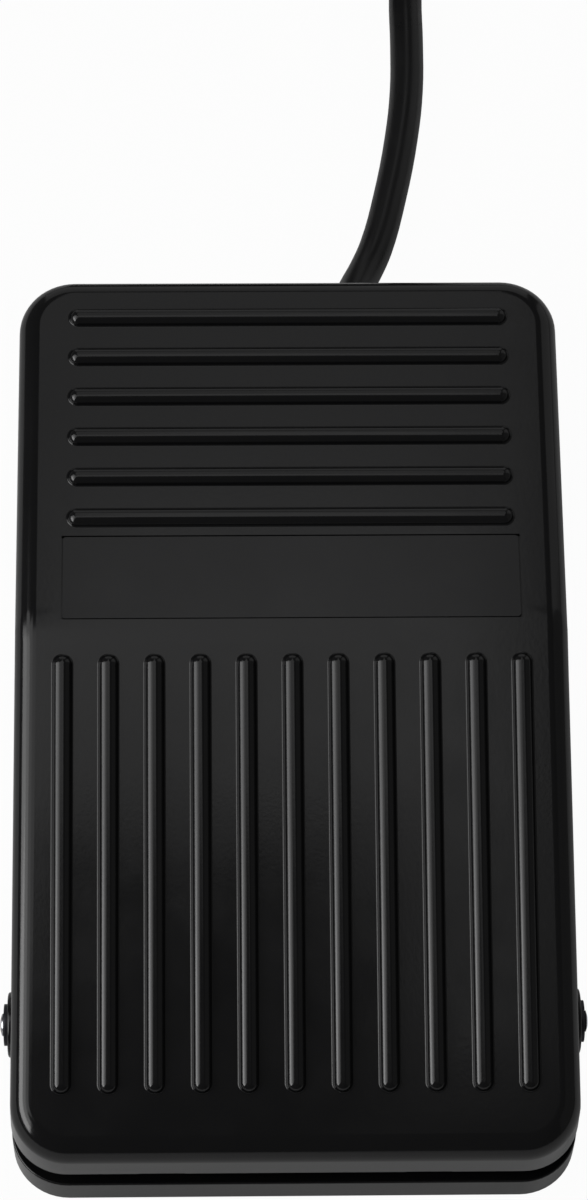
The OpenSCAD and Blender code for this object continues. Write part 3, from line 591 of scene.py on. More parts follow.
def shade_of(rgb, factor):
    """A colour made lighter or darker, with full alpha."""
    return (*(min(1.0, channel * factor) for channel in rgb), 1.0)


def surface(name, rgb, roughness, grain, depth, stretch=(1, 1, 1), cloud=9.0, spread=0.05, tint=0.12):
    """A finish with a fine grain that the light catches, and clouds of more and less shine and colour.

    The grain's spacing and depth and the clouds' size are in millimetres, and stretch draws the grain out
    along an axis. The clouds change the roughness by the spread, and the colour by the share of the tint.
    """
    material, tree, shader = new_finish(name)
    place = add_node(tree, "ShaderNodeTexCoord").outputs["Object"]
    drawn = add_node(tree, "ShaderNodeMapping", {"Vector": place, "Scale": [1 / s for s in stretch]})
    fine = add_node(
        tree, "ShaderNodeTexNoise",
        {"Vector": drawn.outputs["Vector"], "Scale": 1 / (grain * MM), "Detail": 3.0, "Roughness": 0.6},
    )
    broad = add_node(
        tree, "ShaderNodeTexNoise",
        {"Vector": place, "Scale": 1 / (cloud * MM), "Detail": 4.0, "Roughness": 0.6},
    )
    shine = add_node(
        tree, "ShaderNodeMapRange",
        {"Value": broad.outputs["Fac"], "From Min": 0.3, "From Max": 0.7,
         "To Min": roughness - spread, "To Max": roughness + spread},
    )
    shade = add_node(
        tree, "ShaderNodeMix",
        {"Factor": broad.outputs["Fac"], "A": shade_of(rgb, 1 - tint), "B": shade_of(rgb, 1 + tint)},
        data_type="RGBA",
    )
    relief = add_node(
        tree, "ShaderNodeBump", {"Height": fine.outputs["Fac"], "Strength": 1.0, "Distance": depth * MM}
    )
    tree.links.new(shade.outputs["Result"], shader.inputs["Base Color"])
    tree.links.new(shine.outputs["Result"], shader.inputs["Roughness"])
    tree.links.new(relief.outputs["Normal"], shader.inputs["Normal"])
    return material


def metal(name, rgb, roughness, grain=0.15, depth=0.004, stretch=(1, 1, 1)):
    """A metal whose grain is drawn out the way it was turned, drawn or plated."""
    material = surface(name, rgb, roughness, grain, depth, stretch, cloud=2.5, tint=0.08)
    material.node_tree.nodes["Principled BSDF"].inputs["Metallic"].default_value = 1.0
    return material


def moulded_abs(colours):
    """Injection-moulded ABS: a glossy black skin, with the mould's fine polish marks in its shine."""
    return surface("moulded_black_abs", colours.moulding, 0.13, grain=0.45, depth=0.003, spread=0.03)


def satin_film(colours):
    """Polycarbonate label stock: a smooth satin skin, a little paler and finer than the moulding round it."""
    return surface(
        "satin_polycarbonate_film", colours.label, 0.2, grain=0.25, depth=0.002, cloud=14, spread=0.03
    )


def moulded_rubber(colours):
    """Nitrile rubber: dull black with the rough skin of an unpolished mould."""
    return surface("moulded_nitrile_rubber", colours.rubber, 0.72, grain=0.35, depth=0.03, cloud=3)


def extruded_pvc(colours):
    """Soft PVC jacket: black with a soft line of shine, and the faint waviness that the extruder leaves."""
    return surface("extruded_soft_pvc", colours.jacket, 0.3, grain=0.9, depth=0.008, cloud=6)


def moulded_pvc(colours):
    """PVC moulded on the cord: duller than the jacket, with a spark-eroded mould's pebbled skin."""
    return surface("pebbled_pvc_overmould", colours.jacket, 0.52, grain=0.3, depth=0.02, cloud=4)


def core_pvc(colours, hue):
    """Core insulation, extruded in its own colour: glossy, even, almost without grain."""
    return surface(f"{hue}_core_pvc", getattr(colours, f"core_{hue}"), 0.34, grain=0.4, depth=0.004, cloud=3)


def tie_nylon(colours):
    """Black nylon of the tie: smooth and slightly waxy, with fine teeth across it that blur into a sheen."""
    return surface("moulded_black_nylon", colours.nylon_black, 0.42, grain=0.3, depth=0.01)


def turned_steel(colours):
    """Bright turned steel: fine rings round the pin's axis that stretch its highlights."""
    return metal("turned_bright_steel", colours.steel, 0.22, stretch=(0.3, 3, 3))


def zinc_plated_wire(colours):
    """Zinc-plated spring wire: a soft grey shine with die lines."""
    return metal("zinc_plated_spring_wire", colours.steel, 0.34, grain=0.12, depth=0.005)


def phosphated_steel(colours):
    """Phosphated spring steel: dark grey, dull, slightly crystalline."""
    return metal("phosphated_spring_steel", colours.phosphate, 0.45, grain=0.08, depth=0.004)


def nickel_plate(colours, name, stretch):
    """Nickel plating over rolled or headed steel: bright, with faint lines of the sheet under it."""
    return metal(name, colours.nickel, 0.2, grain=0.2, depth=0.003, stretch=stretch)


def glass_laminate(colours):
    """Circuit board: green solder mask whose gloss follows the glass weave under it.

    The weave is drawn at 1 mm, twice as coarse as it is.
    """
    material = surface("solder_mask_on_glass_laminate", colours.mask, 0.32, grain=0.5, depth=0.002, cloud=5)
    tree = material.node_tree
    place = add_node(tree, "ShaderNodeTexCoord").outputs["Object"]
    # The bands of a wave texture lie 2 pi / (20 x scale) apart.
    thread = math.pi / 10 / MM
    weave_depth = 0.01 * MM
    warp, weft = (
        add_node(tree, "ShaderNodeTexWave", {"Vector": place, "Scale": thread}, bands_direction=axis)
        for axis in "XY"
    )
    weave = add_node(
        tree, "ShaderNodeMath", {0: warp.outputs["Fac"], 1: weft.outputs["Fac"]}, operation="MULTIPLY"
    )
    relief = add_node(
        tree, "ShaderNodeBump", {"Height": weave.outputs[0], "Strength": 1.0, "Distance": weave_depth}
    )
    tree.links.new(relief.outputs["Normal"], tree.nodes["Principled BSDF"].inputs["Normal"])
    return material


# Treadle


def near_z(size, y):
    """Height of the pressed near slope."""
    crease_z = size.skirt_z + size.heel_h + (size.length / 2 + size.crease_y) * math.tan(size.near_slope)
    return crease_z - (size.crease_y - y) * math.tan(size.near_slope)


def roof_z(size, y):
    """Height of the pressed treadle's top, before its edges are rounded."""
    if y <= size.crease_y:
        return near_z(size, y)
    return near_z(size, size.crease_y) - (y - size.crease_y) * math.tan(size.far_slope)


def wall_top(size, corner, depth):
    """Where a corner of the plan meets the top, or a depth below it, with the draft of its walls."""
    rise = roof_z(size, corner.y) - size.skirt_z
    x = corner.x - math.copysign(rise * math.tan(size.side_draft), corner.x)
    at_end = abs(corner.y) > size.length / 2 - size.corner_r
    y = corner.y - math.copysign(rise * math.tan(size.end_draft), corner.y) if at_end else corner.y
    return Vector((x, y, roof_z(size, y) - depth))


def slope_axes(size, slope):
    """Origin on the crease, direction away from the crease along a slope, and the slope's normal."""
    origin = Vector((0, size.crease_y, near_z(size, size.crease_y)))
    side, fall = (-1, size.near_slope) if slope == "near" else (1, size.far_slope)
    away = Vector((0, side * math.cos(fall), -math.sin(fall)))
    return origin, away, Vector((0, side * math.sin(fall), math.cos(fall)))


def is_corner(size, edge):
    """True for one of the four upright corner edges."""
    a, b = (vertex.co for vertex in edge.verts)
    upright = abs(a.z - b.z) > 2 * max(abs(a.x - b.x), abs(a.y - b.y))
    at_side = abs(a.x) > size.width / 2 - size.corner_r
    at_end = abs(a.y) > size.length / 2 - size.corner_r
    return upright and at_side and at_end


def on_crease(size, edge):
    """True for the edge along which the two slopes meet."""
    top = near_z(size, size.crease_y)
    return all(abs(v.co.y - size.crease_y) < TOUCH and abs(v.co.z - top) < TOUCH for v in edge.verts)


def hollow(shell, size):
    """Leave a wall of even thickness, open below."""
    pick(shell, "FACE", looks_down)
    bpy.ops.mesh.inset(thickness=size.wall)
    extrude((0, 0, size.wall))
    reshape(shell, lambda vertex: vertex.select, lambda co: wall_top(size, co, size.wall))


def shape_shell(size):
    """The pressed treadle without its ribs: a box with sloped top and leaned walls, rounded and hollowed."""
    start_z = size.skirt_z + size.heel_h
    waist_z = size.skirt_z + size.heel_h / 2
    half_w, half_l = size.width / 2, size.length / 2
    crease_setback = size.crease_r * math.tan((size.near_slope + size.far_slope) / 2)
    # The top turns into the walls by rather less than a right angle, so a bevel there starts nearer to the
    # edge than its radius.
    edge_setback = 0.92 * size.edge_r
    shell = block("treadle_moulding", (-half_w, -half_l, size.skirt_z), (half_w, half_l, start_z))
    with editing(shell):
        cut_all([size.crease_y], BACK)
        reshape(shell, lambda vertex: vertex.co.z > waist_z, lambda co: wall_top(size, co, 0))
        pick(shell, "EDGE", lambda edge: is_corner(size, edge))
        bevel(size.corner_r, segments=14)
        hollow(shell, size)
        pick(shell, "EDGE", lambda edge: on_crease(size, edge))
        bevel(crease_setback, segments=6)
        pick(shell, "EDGE", lambda edge: between(edge, looks_up, looks_sideways))
        bevel(edge_setback, segments=9)
        pick(shell, "EDGE", lambda edge: between(edge, looks_down, looks_sideways))
        bevel(size.skirt_round, segments=2)
    return shell


def rib_steps(size):
    """Half width of a rib's foot, and the steps in and up from there to its crown.

    The section is a round crown with a fillet at its foot that runs out into the slope.
    """
    crown_r = (size.rib_h ** 2 + size.rib_w ** 2 / 4) / (2 * size.rib_h)
    crown_z = size.rib_h - crown_r
    fillet = size.rib_fillet
    foot = math.sqrt((crown_r + fillet) ** 2 - (fillet - crown_z) ** 2)
    steepest = math.acos((fillet - crown_z) / (crown_r + fillet))
    foot_steps, crown_steps = 4, 8
    foot_turns = [steepest * i / foot_steps for i in range(1, foot_steps + 1)]
    crown_turns = [steepest * (1 - i / crown_steps) for i in range(1, crown_steps)]
    points = [(foot, 0.0)]
    points += [(foot - fillet * math.sin(a), fillet * (1 - math.cos(a))) for a in foot_turns]
    points += [(crown_r * math.sin(a), crown_z + crown_r * math.cos(a)) for a in crown_turns]
    return foot, [(p[0] - q[0], q[1] - p[1]) for p, q in zip(points, points[1:])]


def shape_rib(size, rib_l):
    """One round-ended rib along Y from the origin, whose foot reaches a little below the slope."""
    foot, steps = rib_steps(size)
    # The fillet starts a hair below the slope, so that it runs out into it.
    sunk, skim = 0.3 * MM, 0.002 * MM
    rib = cylinder_z("rib", 0, 0, -sunk, -skim, 2 * foot, sides=34)
    with editing(rib):
        pick(rib, "VERT", lambda vertex: vertex.co.y > 0)
        bpy.ops.transform.translate(value=(0, rib_l - size.rib_w, 0))
        pick(rib, "FACE", looks_up)
        for step_in, step_up in steps:
            bpy.ops.mesh.inset(thickness=step_in, depth=step_up)
    return rib


def raise_long_ribs(shell, size):
    """The lengthwise ribs of the near slope."""
    origin, away, normal = slope_axes(size, "near")
    start = origin + away * (size.long_rib_start + size.rib_w / 2)
    across = [(i - (size.long_ribs - 1) / 2) * size.rib_pitch for i in range(size.long_ribs)]
    spots = [(start + RIGHT * x, away, normal) for x in across]
    combine(shell, lay_copies(shape_rib(size, size.long_rib_l), "long_ribs", spots), "UNION")


def raise_cross_ribs(shell, size):
    """The crosswise ribs of the far slope."""
    origin, away, normal = slope_axes(size, "far")
    end = origin - RIGHT * (size.cross_rib_l - size.rib_w) / 2
    along = [size.cross_rib_start + i * size.rib_pitch for i in range(size.cross_ribs)]
    spots = [(end + away * distance, RIGHT, normal) for distance in along]
    combine(shell, lay_copies(shape_rib(size, size.cross_rib_l), "cross_ribs", spots), "UNION")


def label_blank(name, size, play, low, high):
    """A flat box at the label's place on the far slope, between two heights above it."""
    origin, away, normal = slope_axes(size, "far")
    half_w = size.label_w / 2 + play
    start = size.label_start - play
    blank = block(name, (-half_w, start, low), (half_w, start + size.label_l + 2 * play, high))
    return lay(blank, origin, away, normal)


def notch_skirt(shell, size):
    """The shallow notches in the heel's skirt that clear the tray's stops."""
    for side in SIDES:
        left = side * size.notch_x - size.notch_w / 2
        low = Vector((left, -size.length / 2 - size.wall, size.skirt_z - size.notch_h))
        high = low + Vector((size.notch_w, 3 * size.wall, 2 * size.notch_h))
        combine(shell, block("notch", low, high), "DIFFERENCE")


def swing_to_rest(piece):
    """Swing a pressed piece of the treadle up to its rest about the pin."""
    piece.matrix_world = Matrix.Translation(PIN) @ Matrix.Rotation(TRAVEL, 4, "X") @ Matrix.Translation(-PIN)
    settle(piece)


def rest_roof_z(size, y):
    """Height inside the wall of the resting treadle's top, above a place in the plan."""
    slope = TRAVEL + (size.near_slope if y <= size.crease_y else -size.far_slope)
    crease = Vector((0, size.crease_y, near_z(size, size.crease_y))) - PIN
    crease.rotate(Matrix.Rotation(TRAVEL, 3, "X"))
    crease += PIN
    return crease.z + (y - crease.y) * math.tan(slope) - size.wall / 2


def add_bosses(shell, size):
    """The round bosses on the pin, bored for it."""
    for side in SIDES:
        ends = sorted((side * size.boss_inner, side * size.boss_face))
        boss = cylinder_x("boss", *ends, PIN.y, PIN.z, size.boss_d)
        with editing(boss):
            pick(boss, "EDGE", lambda edge: all(abs(v.co.x) > size.boss_face - TOUCH for v in edge.verts))
            bevel(size.boss_round, segments=3)
        combine(shell, boss, "UNION")
    bore = cylinder_x("bore", -size.width, size.width, PIN.y, PIN.z, size.bore_d, sides=32)
    combine(shell, bore, "DIFFERENCE")


def add_inner_posts(shell, size, base):
    """The bosses inside that press on the springs, and the post that presses the switch lever."""
    spring_top = base.spring_z + base.spring_l
    seat_top = rest_roof_z(size, base.spring_y)
    for side in SIDES:
        seat = cylinder_z("seat", side * base.spring_x, base.spring_y, spring_top, seat_top, size.seat_d)
        combine(shell, seat, "UNION")
    post = cylinder_z("post", 0, size.post_y, size.post_z, rest_roof_z(size, size.post_y), size.post_d)
    with editing(post):
        pick(post, "EDGE", lambda edge: all(v.co.z < size.post_z + TOUCH for v in edge.verts))
        # Nearly half the diameter leaves a round end.
        bevel(0.48 * size.post_d, segments=6)
    combine(shell, post, "UNION")


class PEDAL_OT_treadle(bpy.types.Operator):
    """Model the treadle: two slopes, rounded edges, grip ribs, label recess and pivot bosses"""

    bl_idname = "pedal.treadle"
    bl_label = "Treadle"

    def execute(self, context):
        size = context.scene.pedal_treadle
        shell = shape_shell(size)
        raise_long_ribs(shell, size)
        raise_cross_ribs(shell, size)
        recess = label_blank("recess", size, size.label_play, -size.label_t - size.label_sink, size.rib_h)
        combine(shell, recess, "DIFFERENCE")
        notch_skirt(shell, size)
        swing_to_rest(shell)
        add_bosses(shell, size)
        add_inner_posts(shell, size, context.scene.pedal_base)
        dress(shell, "treadle", moulded_abs(context.scene.pedal_colours), ["treadle"])
        return {"FINISHED"}


class PEDAL_OT_label(bpy.types.Operator):
    """Model the bare label plate in its recess"""

    bl_idname = "pedal.label"
    bl_label = "Label plate"

    def execute(self, context):
        size = context.scene.pedal_treadle
        plate = label_blank("label_blank", size, 0, -size.label_t - size.label_sink, -size.label_sink)
        with editing(plate):
            pick(plate, "EDGE", lambda edge: between(edge, looks_sideways, looks_sideways))
            bevel(size.label_corner_r, segments=4)
            pick(plate, "EDGE", lambda edge: between(edge, looks_up, looks_sideways))
            bevel(size.label_round, segments=2)
        swing_to_rest(plate)
        dress(plate, "treadle", satin_film(context.scene.pedal_colours), ["label_plate"])
        return {"FINISHED"}


# Tray and what is fixed to it


def on_rim(base, edge):
    """True for an edge on the tray's outer outline."""
    slack = 0.05 * MM
    for vertex in edge.verts:
        x = max(abs(vertex.co.x) - base.width / 2 + base.corner_r, 0)
        y = max(abs(vertex.co.y) - base.length / 2 + base.corner_r, 0)
        if math.hypot(x, y) < base.corner_r - slack:
            return False
    return True


class PEDAL_OT_tray(bpy.types.Operator):
    """Model the tray, with its rim's edges rounded"""

    bl_idname = "pedal.tray"
    bl_label = "Tray"

    def execute(self, context):
        base = context.scene.pedal_base
        tray = merged_copy("base_tray", "tray_moulding")
        with editing(tray):
            for looks_flat in (looks_up, looks_down):
                pick(
                    tray, "EDGE",
                    lambda edge: between(edge, looks_flat, looks_sideways) and on_rim(base, edge),
                )
                bevel(base.rim_round, segments=3)
        dress(tray, "base", moulded_abs(context.scene.pedal_colours), ["base_tray"])
        return {"FINISHED"}


class PEDAL_OT_feet(bpy.types.Operator):
    """Model one rubber foot and copy it to the four corners"""

    bl_idname = "pedal.feet"
    bl_label = "Rubber feet"

    def execute(self, context):
        base = context.scene.pedal_base
        dish_slope = 0.25 * MM
        # Only the flat underside looks so nearly straight down, and not the rounding about it.
        straight = 0.999
        foot = cylinder_z("rubber_foot", 0, 0, 0, base.foot_h, base.foot_d, sides=64)
        with editing(foot):
            pick(foot, "EDGE", lambda edge: between(edge, looks_down, looks_sideways))
            bevel(base.foot_round, segments=4)
            pick(foot, "FACE", lambda face: face.normal.z < -straight)
            bpy.ops.mesh.inset(thickness=base.foot_ring)
            bpy.ops.mesh.inset(thickness=dish_slope, depth=-base.foot_dish)
        corners = [Vector((x * base.foot_x, y * base.foot_y, 0)) for x in SIDES for y in SIDES]
        feet = lay_copies(foot, "foot_set", [(corner, BACK, UP) for corner in corners])
        dress(feet, "base", moulded_rubber(context.scene.pedal_colours), ["rubber_feet"])
        return {"FINISHED"}


def pin_profile(base):
    """Stations of the pin from end to end: domed ends, and grooves for the clips."""
    r = base.pin_d / 2
    # The dome's stations: millimetres back from the pin's end, and the share of its radius.
    dome = ((0, 0.55), (0.06, 0.8), (0.16, 0.95), (0.28, 1))
    half = [(base.pin_end - setback * MM, share * r) for setback, share in dome]
    inner, outer = base.clip_x - PLAY, base.clip_x + base.clip_t + PLAY
    half += [(outer + PLAY, r), (outer, r - base.groove), (inner, r - base.groove), (inner - PLAY, r)]
    return [(-place, radius) for place, radius in half] + half[::-1]


def shape_clip(base):
    """One retaining clip in its own plane, a disc along Z: bored, open below, with two round notches."""
    clip = cylinder_z("clip", 0, 0, -base.clip_t / 2, base.clip_t / 2, base.clip_d, sides=64)
    reach = base.clip_t
    groove_r = base.pin_d / 2 - base.groove
    notch_y = 0.35 * groove_r
    tools = [cylinder_z("bore", 0, 0, -reach, reach, 2 * (groove_r + PLAY))]
    for side in SIDES:
        tools.append(cylinder_z("notch", side * groove_r, notch_y, -reach, reach, base.clip_notch_d))
    tools.append(block("slot", (-groove_r, -base.clip_d, -reach), (groove_r, 0, reach)))
    for tool in tools:
        combine(clip, tool, "DIFFERENCE")
    soften(clip, width=0.03 * MM)
    return clip


class PEDAL_OT_pivot(bpy.types.Operator):
    """Model the pivot pin and the two clips that hold it"""

    bl_idname = "pedal.pivot"
    bl_label = "Pivot"

    def execute(self, context):
        base = context.scene.pedal_base
        colours = context.scene.pedal_colours
        pin = turned("pin_turned", pin_profile(base))
        lay(pin, PIN, BACK, RIGHT)
        dress(pin, "base", turned_steel(colours), ["pivot_pin"])
        out = base.clip_x + base.clip_t / 2
        spots = [(PIN + RIGHT * side * out, UP, RIGHT * side) for side in SIDES]
        clips = lay_copies(shape_clip(base), "clip_pair", spots)
        dress(clips, "base", phosphated_steel(colours), ["retaining_clips"])
        return {"FINISHED"}


def spring_points(base, x):
    """Points along a spring with its end turns drawn closer than the rest."""
    turn_steps = 24
    end_pitch = 1.5 * base.spring_wire
    rise = base.spring_l - base.spring_wire
    pitch = (rise - 2 * end_pitch) / (base.spring_turns - 2)
    radius = (base.spring_d - base.spring_wire) / 2
    points = []
    for i in range(base.spring_turns * turn_steps + 1):
        turn = i / turn_steps
        first = min(turn, 1)
        last = max(turn - base.spring_turns + 1, 0)
        height = (first + last) * end_pitch + (turn - first - last) * pitch
        around = 2 * math.pi * turn
        points.append(Vector((
            x + radius * math.cos(around),
            base.spring_y + radius * math.sin(around),
            base.spring_z + base.spring_wire / 2 + height,
        )))
    return points


class PEDAL_OT_springs(bpy.types.Operator):
    """Wind the two return springs"""

    bl_idname = "pedal.springs"
    bl_label = "Return springs"

    def execute(self, context):
        base = context.scene.pedal_base
        finish = zinc_plated_wire(context.scene.pedal_colours)
        to_top = Vector((0, base.spring_y - PIN.y, base.spring_z + base.spring_l - PIN.z))
        pressed = to_top.copy()
        pressed.rotate(Matrix.Rotation(-TRAVEL, 3, "X"))
        for side, hand in zip(SIDES, ("left", "right")):
            x = side * base.spring_x
            wire = round_bar(f"wound_spring_{hand}", spring_points(base, x), base.spring_wire, steps=2)
            spring = as_mesh(wire)
            dress(spring, "base", finish, [f"return_spring_{hand}"])
            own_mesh(spring)
        return {"FINISHED"}


class PEDAL_OT_core_wires(bpy.types.Operator):
    """Run the four insulated cores from the cord to the board's connector"""

    bl_idname = "pedal.core_wires"
    bl_label = "Core wires"

    def execute(self, context):
        base = context.scene.pedal_base
        cord = context.scene.pedal_cord
        colours = context.scene.pedal_colours
        hues = ("red", "white", "green", "black")
        steps = 8
        # The cores start inside the jacket, fan out to the connector's wider spacing, and bow up in turn.
        tuck, fan, bow_fan, bows = 0.3 * MM, 2, 0.3, (0.9 * MM, 0.5 * MM)
        for i, hue in enumerate(hues):
            place = (i - (len(hues) - 1) / 2) * base.core_pitch
            start = Vector((cord.exit_x + place, cord.entry_y - tuck, cord.exit_z))
            end = Vector((base.core_x + fan * place, base.core_y, base.core_z))
            bow = Vector((bow_fan * place, 0, bows[i % 2]))
            shares = [t / steps for t in range(steps + 1)]
            points = [start.lerp(end, share) + bow * math.sin(math.pi * share) for share in shares]
            core = as_mesh(round_bar(f"core_{hue}_wire", points, base.core_d, steps=4))
            dress(core, "base", core_pvc(colours, hue), [f"core_wire_{hue}"])
        return {"FINISHED"}


def bend_groove(place, proud, width, depth, fall=0):
    """Stations across one groove of a strain relief, whose outside falls a little from side to side."""
    slope = 0.1 * MM
    return [
        (place, proud), (place + slope, proud - depth),
        (place + width - slope, proud - fall - depth), (place + width, proud - fall),
    ]


def relief_profile(cord):
    """Stations of the strain relief from its flange to its tip, with grooves that let it bend."""
    r = cord.diameter / 2
    start = cord.relief_y
    flange_r, flange_l, flange_round = r + 2.4 * MM, 1.5 * MM, 0.2 * MM
    neck_r, neck_l, step = r + 1.2 * MM, 5.6 * MM, 0.05 * MM
    groove_start, groove_pitch, groove_w, groove_depth = 6.2 * MM, 1.5 * MM, 0.7 * MM, 0.45 * MM
    groove_r, groove_taper = r + 1.1 * MM, 0.2 * MM
    tip_r, tip_l, tip_round = r + 0.5 * MM, 0.25 * MM, 0.2 * MM
    stations = [
        (start, flange_r - flange_round), (start + flange_round, flange_r),
        (start + flange_l - flange_round, flange_r), (start + flange_l, flange_r - flange_round),
        (start + flange_l + step, neck_r), (start + neck_l, neck_r),
    ]
    for i in range(2):
        place = start + groove_start + i * groove_pitch
        stations += bend_groove(place, groove_r - i * groove_taper, groove_w, groove_depth, fall=step)
    return stations + [(cord.exit_y - tip_l, tip_r), (cord.exit_y, tip_r - tip_round)]


class PEDAL_OT_strain_relief(bpy.types.Operator):
    """Model the strain relief in the tray's rear wall"""

    bl_idname = "pedal.strain_relief"
    bl_label = "Strain relief"

    def execute(self, context):
        cord = context.scene.pedal_cord
        sleeve = turned("relief_sleeve", relief_profile(cord), bore_d=cord.diameter + 2 * PLAY)
        lay(sleeve, Vector((cord.exit_x, 0, cord.exit_z)), -UP, BACK)
        dress(sleeve, "base", moulded_pvc(context.scene.pedal_colours), ["strain_relief"])
        return {"FINISHED"}


# Cord, coil, tie and plug


def coil_point(cord, turn):
    """Point on the coil; turns count from its rightmost point, anticlockwise seen from above."""
    layer = min(int(turn / cord.layer_turns), cord.coil_layers - 1)
    part = turn - layer * cord.layer_turns
    flat = cord.layer_turns - cord.climb
    sweep = min(part, flat) / flat
    inward = sweep if layer % 2 == 0 else 1 - sweep
    radius = cord.coil_outer - inward * (cord.coil_outer - cord.coil_r)
    height = cord.coil_z + (layer + max(part - flat, 0) / cord.climb) * cord.coil_pitch
    around = 2 * math.pi * turn
    return Vector((cord.coil_x + radius * math.cos(around), cord.coil_y + radius * math.sin(around), height))


def cord_route(cord):
    """Points along the whole cord, from inside the tray to inside the plug's strain relief."""
    leave = Vector((cord.exit_x, cord.exit_y, cord.exit_z))
    inner = Vector((cord.exit_x, cord.entry_y, cord.exit_z))
    inner_steps = 4
    route = [inner.lerp(leave, i / inner_steps) for i in range(inner_steps + 1)]
    route += [leave + Vector((x, y, -share * LEAD_DROP)) * MM for x, y, share in LEAD_BENDS]
    ahead = -BACK * cord.diameter
    lead_end = Vector((cord.coil_x + cord.coil_outer, cord.coil_y, cord.coil_z)) + ahead
    route += [lead_end + ahead, lead_end]
    turns = cord.coil_layers * cord.layer_turns - cord.climb
    turn_steps = 24
    steps = round(turn_steps * turns)
    route += [coil_point(cord, turns * i / steps) for i in range(steps + 1)]
    tail_start = route[-1] + ahead
    plug_end = Vector((cord.plug_x - cord.plug_relief_l, cord.plug_y, cord.plug_z))
    way = plug_end - tail_start
    route.append(tail_start)
    for across, forward, up in TAIL_BENDS:
        route.append(tail_start + Vector((across * MM, forward * way.y, up * way.z)))
    # The jacket ends inside the plug's strain relief.
    tuck = 0.8 * cord.plug_relief_l
    route += [plug_end, plug_end + RIGHT * tuck]
    return route


def plug_relief_profile(cord):
    """Stations of the plug's strain relief, from its tip to the grip, with grooves that let it bend."""
    tip_wall, tip_l, tip_round = 0.5 * MM, 0.25 * MM, 0.2 * MM
    thin, thick = cord.diameter / 2 + tip_wall, cord.plug_relief_d / 2
    groove_start, groove_pitch, groove_w, groove_depth = 1.2 * MM, 1.8 * MM, 0.8 * MM, 0.4 * MM
    stations = [(0, thin - tip_round), (tip_l, thin)]
    for i in range(4):
        place = groove_start + i * groove_pitch
        proud = thin + (thick - thin) * place / cord.plug_relief_l
        stations += bend_groove(place, proud, groove_w, groove_depth)
    return stations + [(cord.plug_relief_l, thick)]


def runs_along_x(edge, length):
    """True for an edge that runs along X for more than half of a length."""
    a, b = (vertex.co for vertex in edge.verts)
    return abs(a.x - b.x) > length / 2


def shell_block(name, cord, start, end):
    """A box as wide and high as the plug's metal shell, between two places along the plug."""
    half = Vector((0, cord.shell_w / 2, cord.shell_h / 2))
    middle = Vector((0, cord.plug_y, cord.plug_z))
    return block(name, middle - half + RIGHT * start, middle + half + RIGHT * end)


def shape_grip(cord):
    """The plug's moulded grip: rounded along its length, with finger grooves, and a mouth for the shell."""
    low = Vector((cord.plug_x, cord.plug_y - cord.grip_w / 2, cord.plug_z - cord.grip_h / 2))
    high = low + Vector((cord.grip_l, cord.grip_w, cord.grip_h))
    end_round = 0.7 * MM
    groove_start, groove_pitch, groove_count = 7 * MM, 2.2 * MM, 5
    groove_depth, half_floor, half_mouth = 0.35 * MM, 0.3 * MM, 0.5 * MM
    grooves = [cord.plug_x + groove_start + i * groove_pitch for i in range(groove_count)]
    grip = block("plug_grip", low, high)

    def in_groove(vertex):
        return any(abs(vertex.co.x - groove) < half_floor + TOUCH for groove in grooves)

    def pressed_in(co):
        y = co.y - math.copysign(groove_depth, co.y - cord.plug_y)
        z = co.z - math.copysign(groove_depth, co.z - cord.plug_z)
        return Vector((co.x, y, z))

    def is_end(face):
        return abs(face.normal.x) > FACING

    def is_side(face):
        return abs(face.normal.x) < ACROSS

    with editing(grip):
        pick(grip, "EDGE", lambda edge: runs_along_x(edge, cord.grip_l))
        bevel(cord.grip_round, segments=6)
        pick(grip, "EDGE", lambda edge: between(edge, is_end, is_side))
        bevel(end_round, segments=4)
        for groove in grooves:
            cut_all([groove + step for step in (-half_mouth, -half_floor, half_floor, half_mouth)], RIGHT)
        reshape(grip, in_groove, pressed_in)
    mouth = shell_block("mouth", cord, cord.plug_x + cord.grip_l / 2, high.x + OVERSHOOT)
    combine(grip, mouth, "DIFFERENCE")
    return grip


def shape_plug_shell(cord):
    """The plug's folded metal shell: open in front, with two latch windows in its top and bottom."""
    mouth_x = cord.plug_x + cord.grip_l
    start, end = mouth_x - cord.grip_l / 2, mouth_x + cord.shell_l
    fold_r = 0.45 * MM
    window_x, window_y, half_window = 6 * MM, 2.9 * MM, Vector((1.3 * MM, 1.2 * MM, cord.shell_h))
    shell = shell_block("plug_can", cord, start, end)
    with editing(shell):
        pick(shell, "EDGE", lambda edge: runs_along_x(edge, cord.shell_l))
        bevel(fold_r, segments=4)
        pick(shell, "FACE", lambda face: face.normal.x > FACING)
        bpy.ops.mesh.inset(thickness=cord.sheet_t)
        extrude((start - end + cord.sheet_t, 0, 0))
    for side in SIDES:
        middle = Vector((mouth_x + window_x, cord.plug_y + side * window_y, cord.plug_z))
        combine(shell, block("window", middle - half_window, middle + half_window), "DIFFERENCE")
    return shell


class PEDAL_OT_plug(bpy.types.Operator):
    """Model the plug at the cord's end: strain relief, grip and metal shell"""

    bl_idname = "pedal.plug"
    bl_label = "Plug"

    def execute(self, context):
        cord = context.scene.pedal_cord
        colours = context.scene.pedal_colours
        pvc = moulded_pvc(colours)
        relief = turned("plug_relief_sleeve", plug_relief_profile(cord), bore_d=cord.diameter + 2 * PLAY)
        tip = Vector((cord.plug_x - cord.plug_relief_l, cord.plug_y, cord.plug_z))
        lay(relief, tip, BACK, RIGHT)
        dress(relief, "base", pvc, ["plug_relief"])
        dress(shape_grip(cord), "base", pvc, ["plug_overmould"])
        plate = nickel_plate(colours, "nickel_plated_sheet", (4, 1, 1))
        dress(shape_plug_shell(cord), "base", plate, ["plug_shell"])
        return {"FINISHED"}


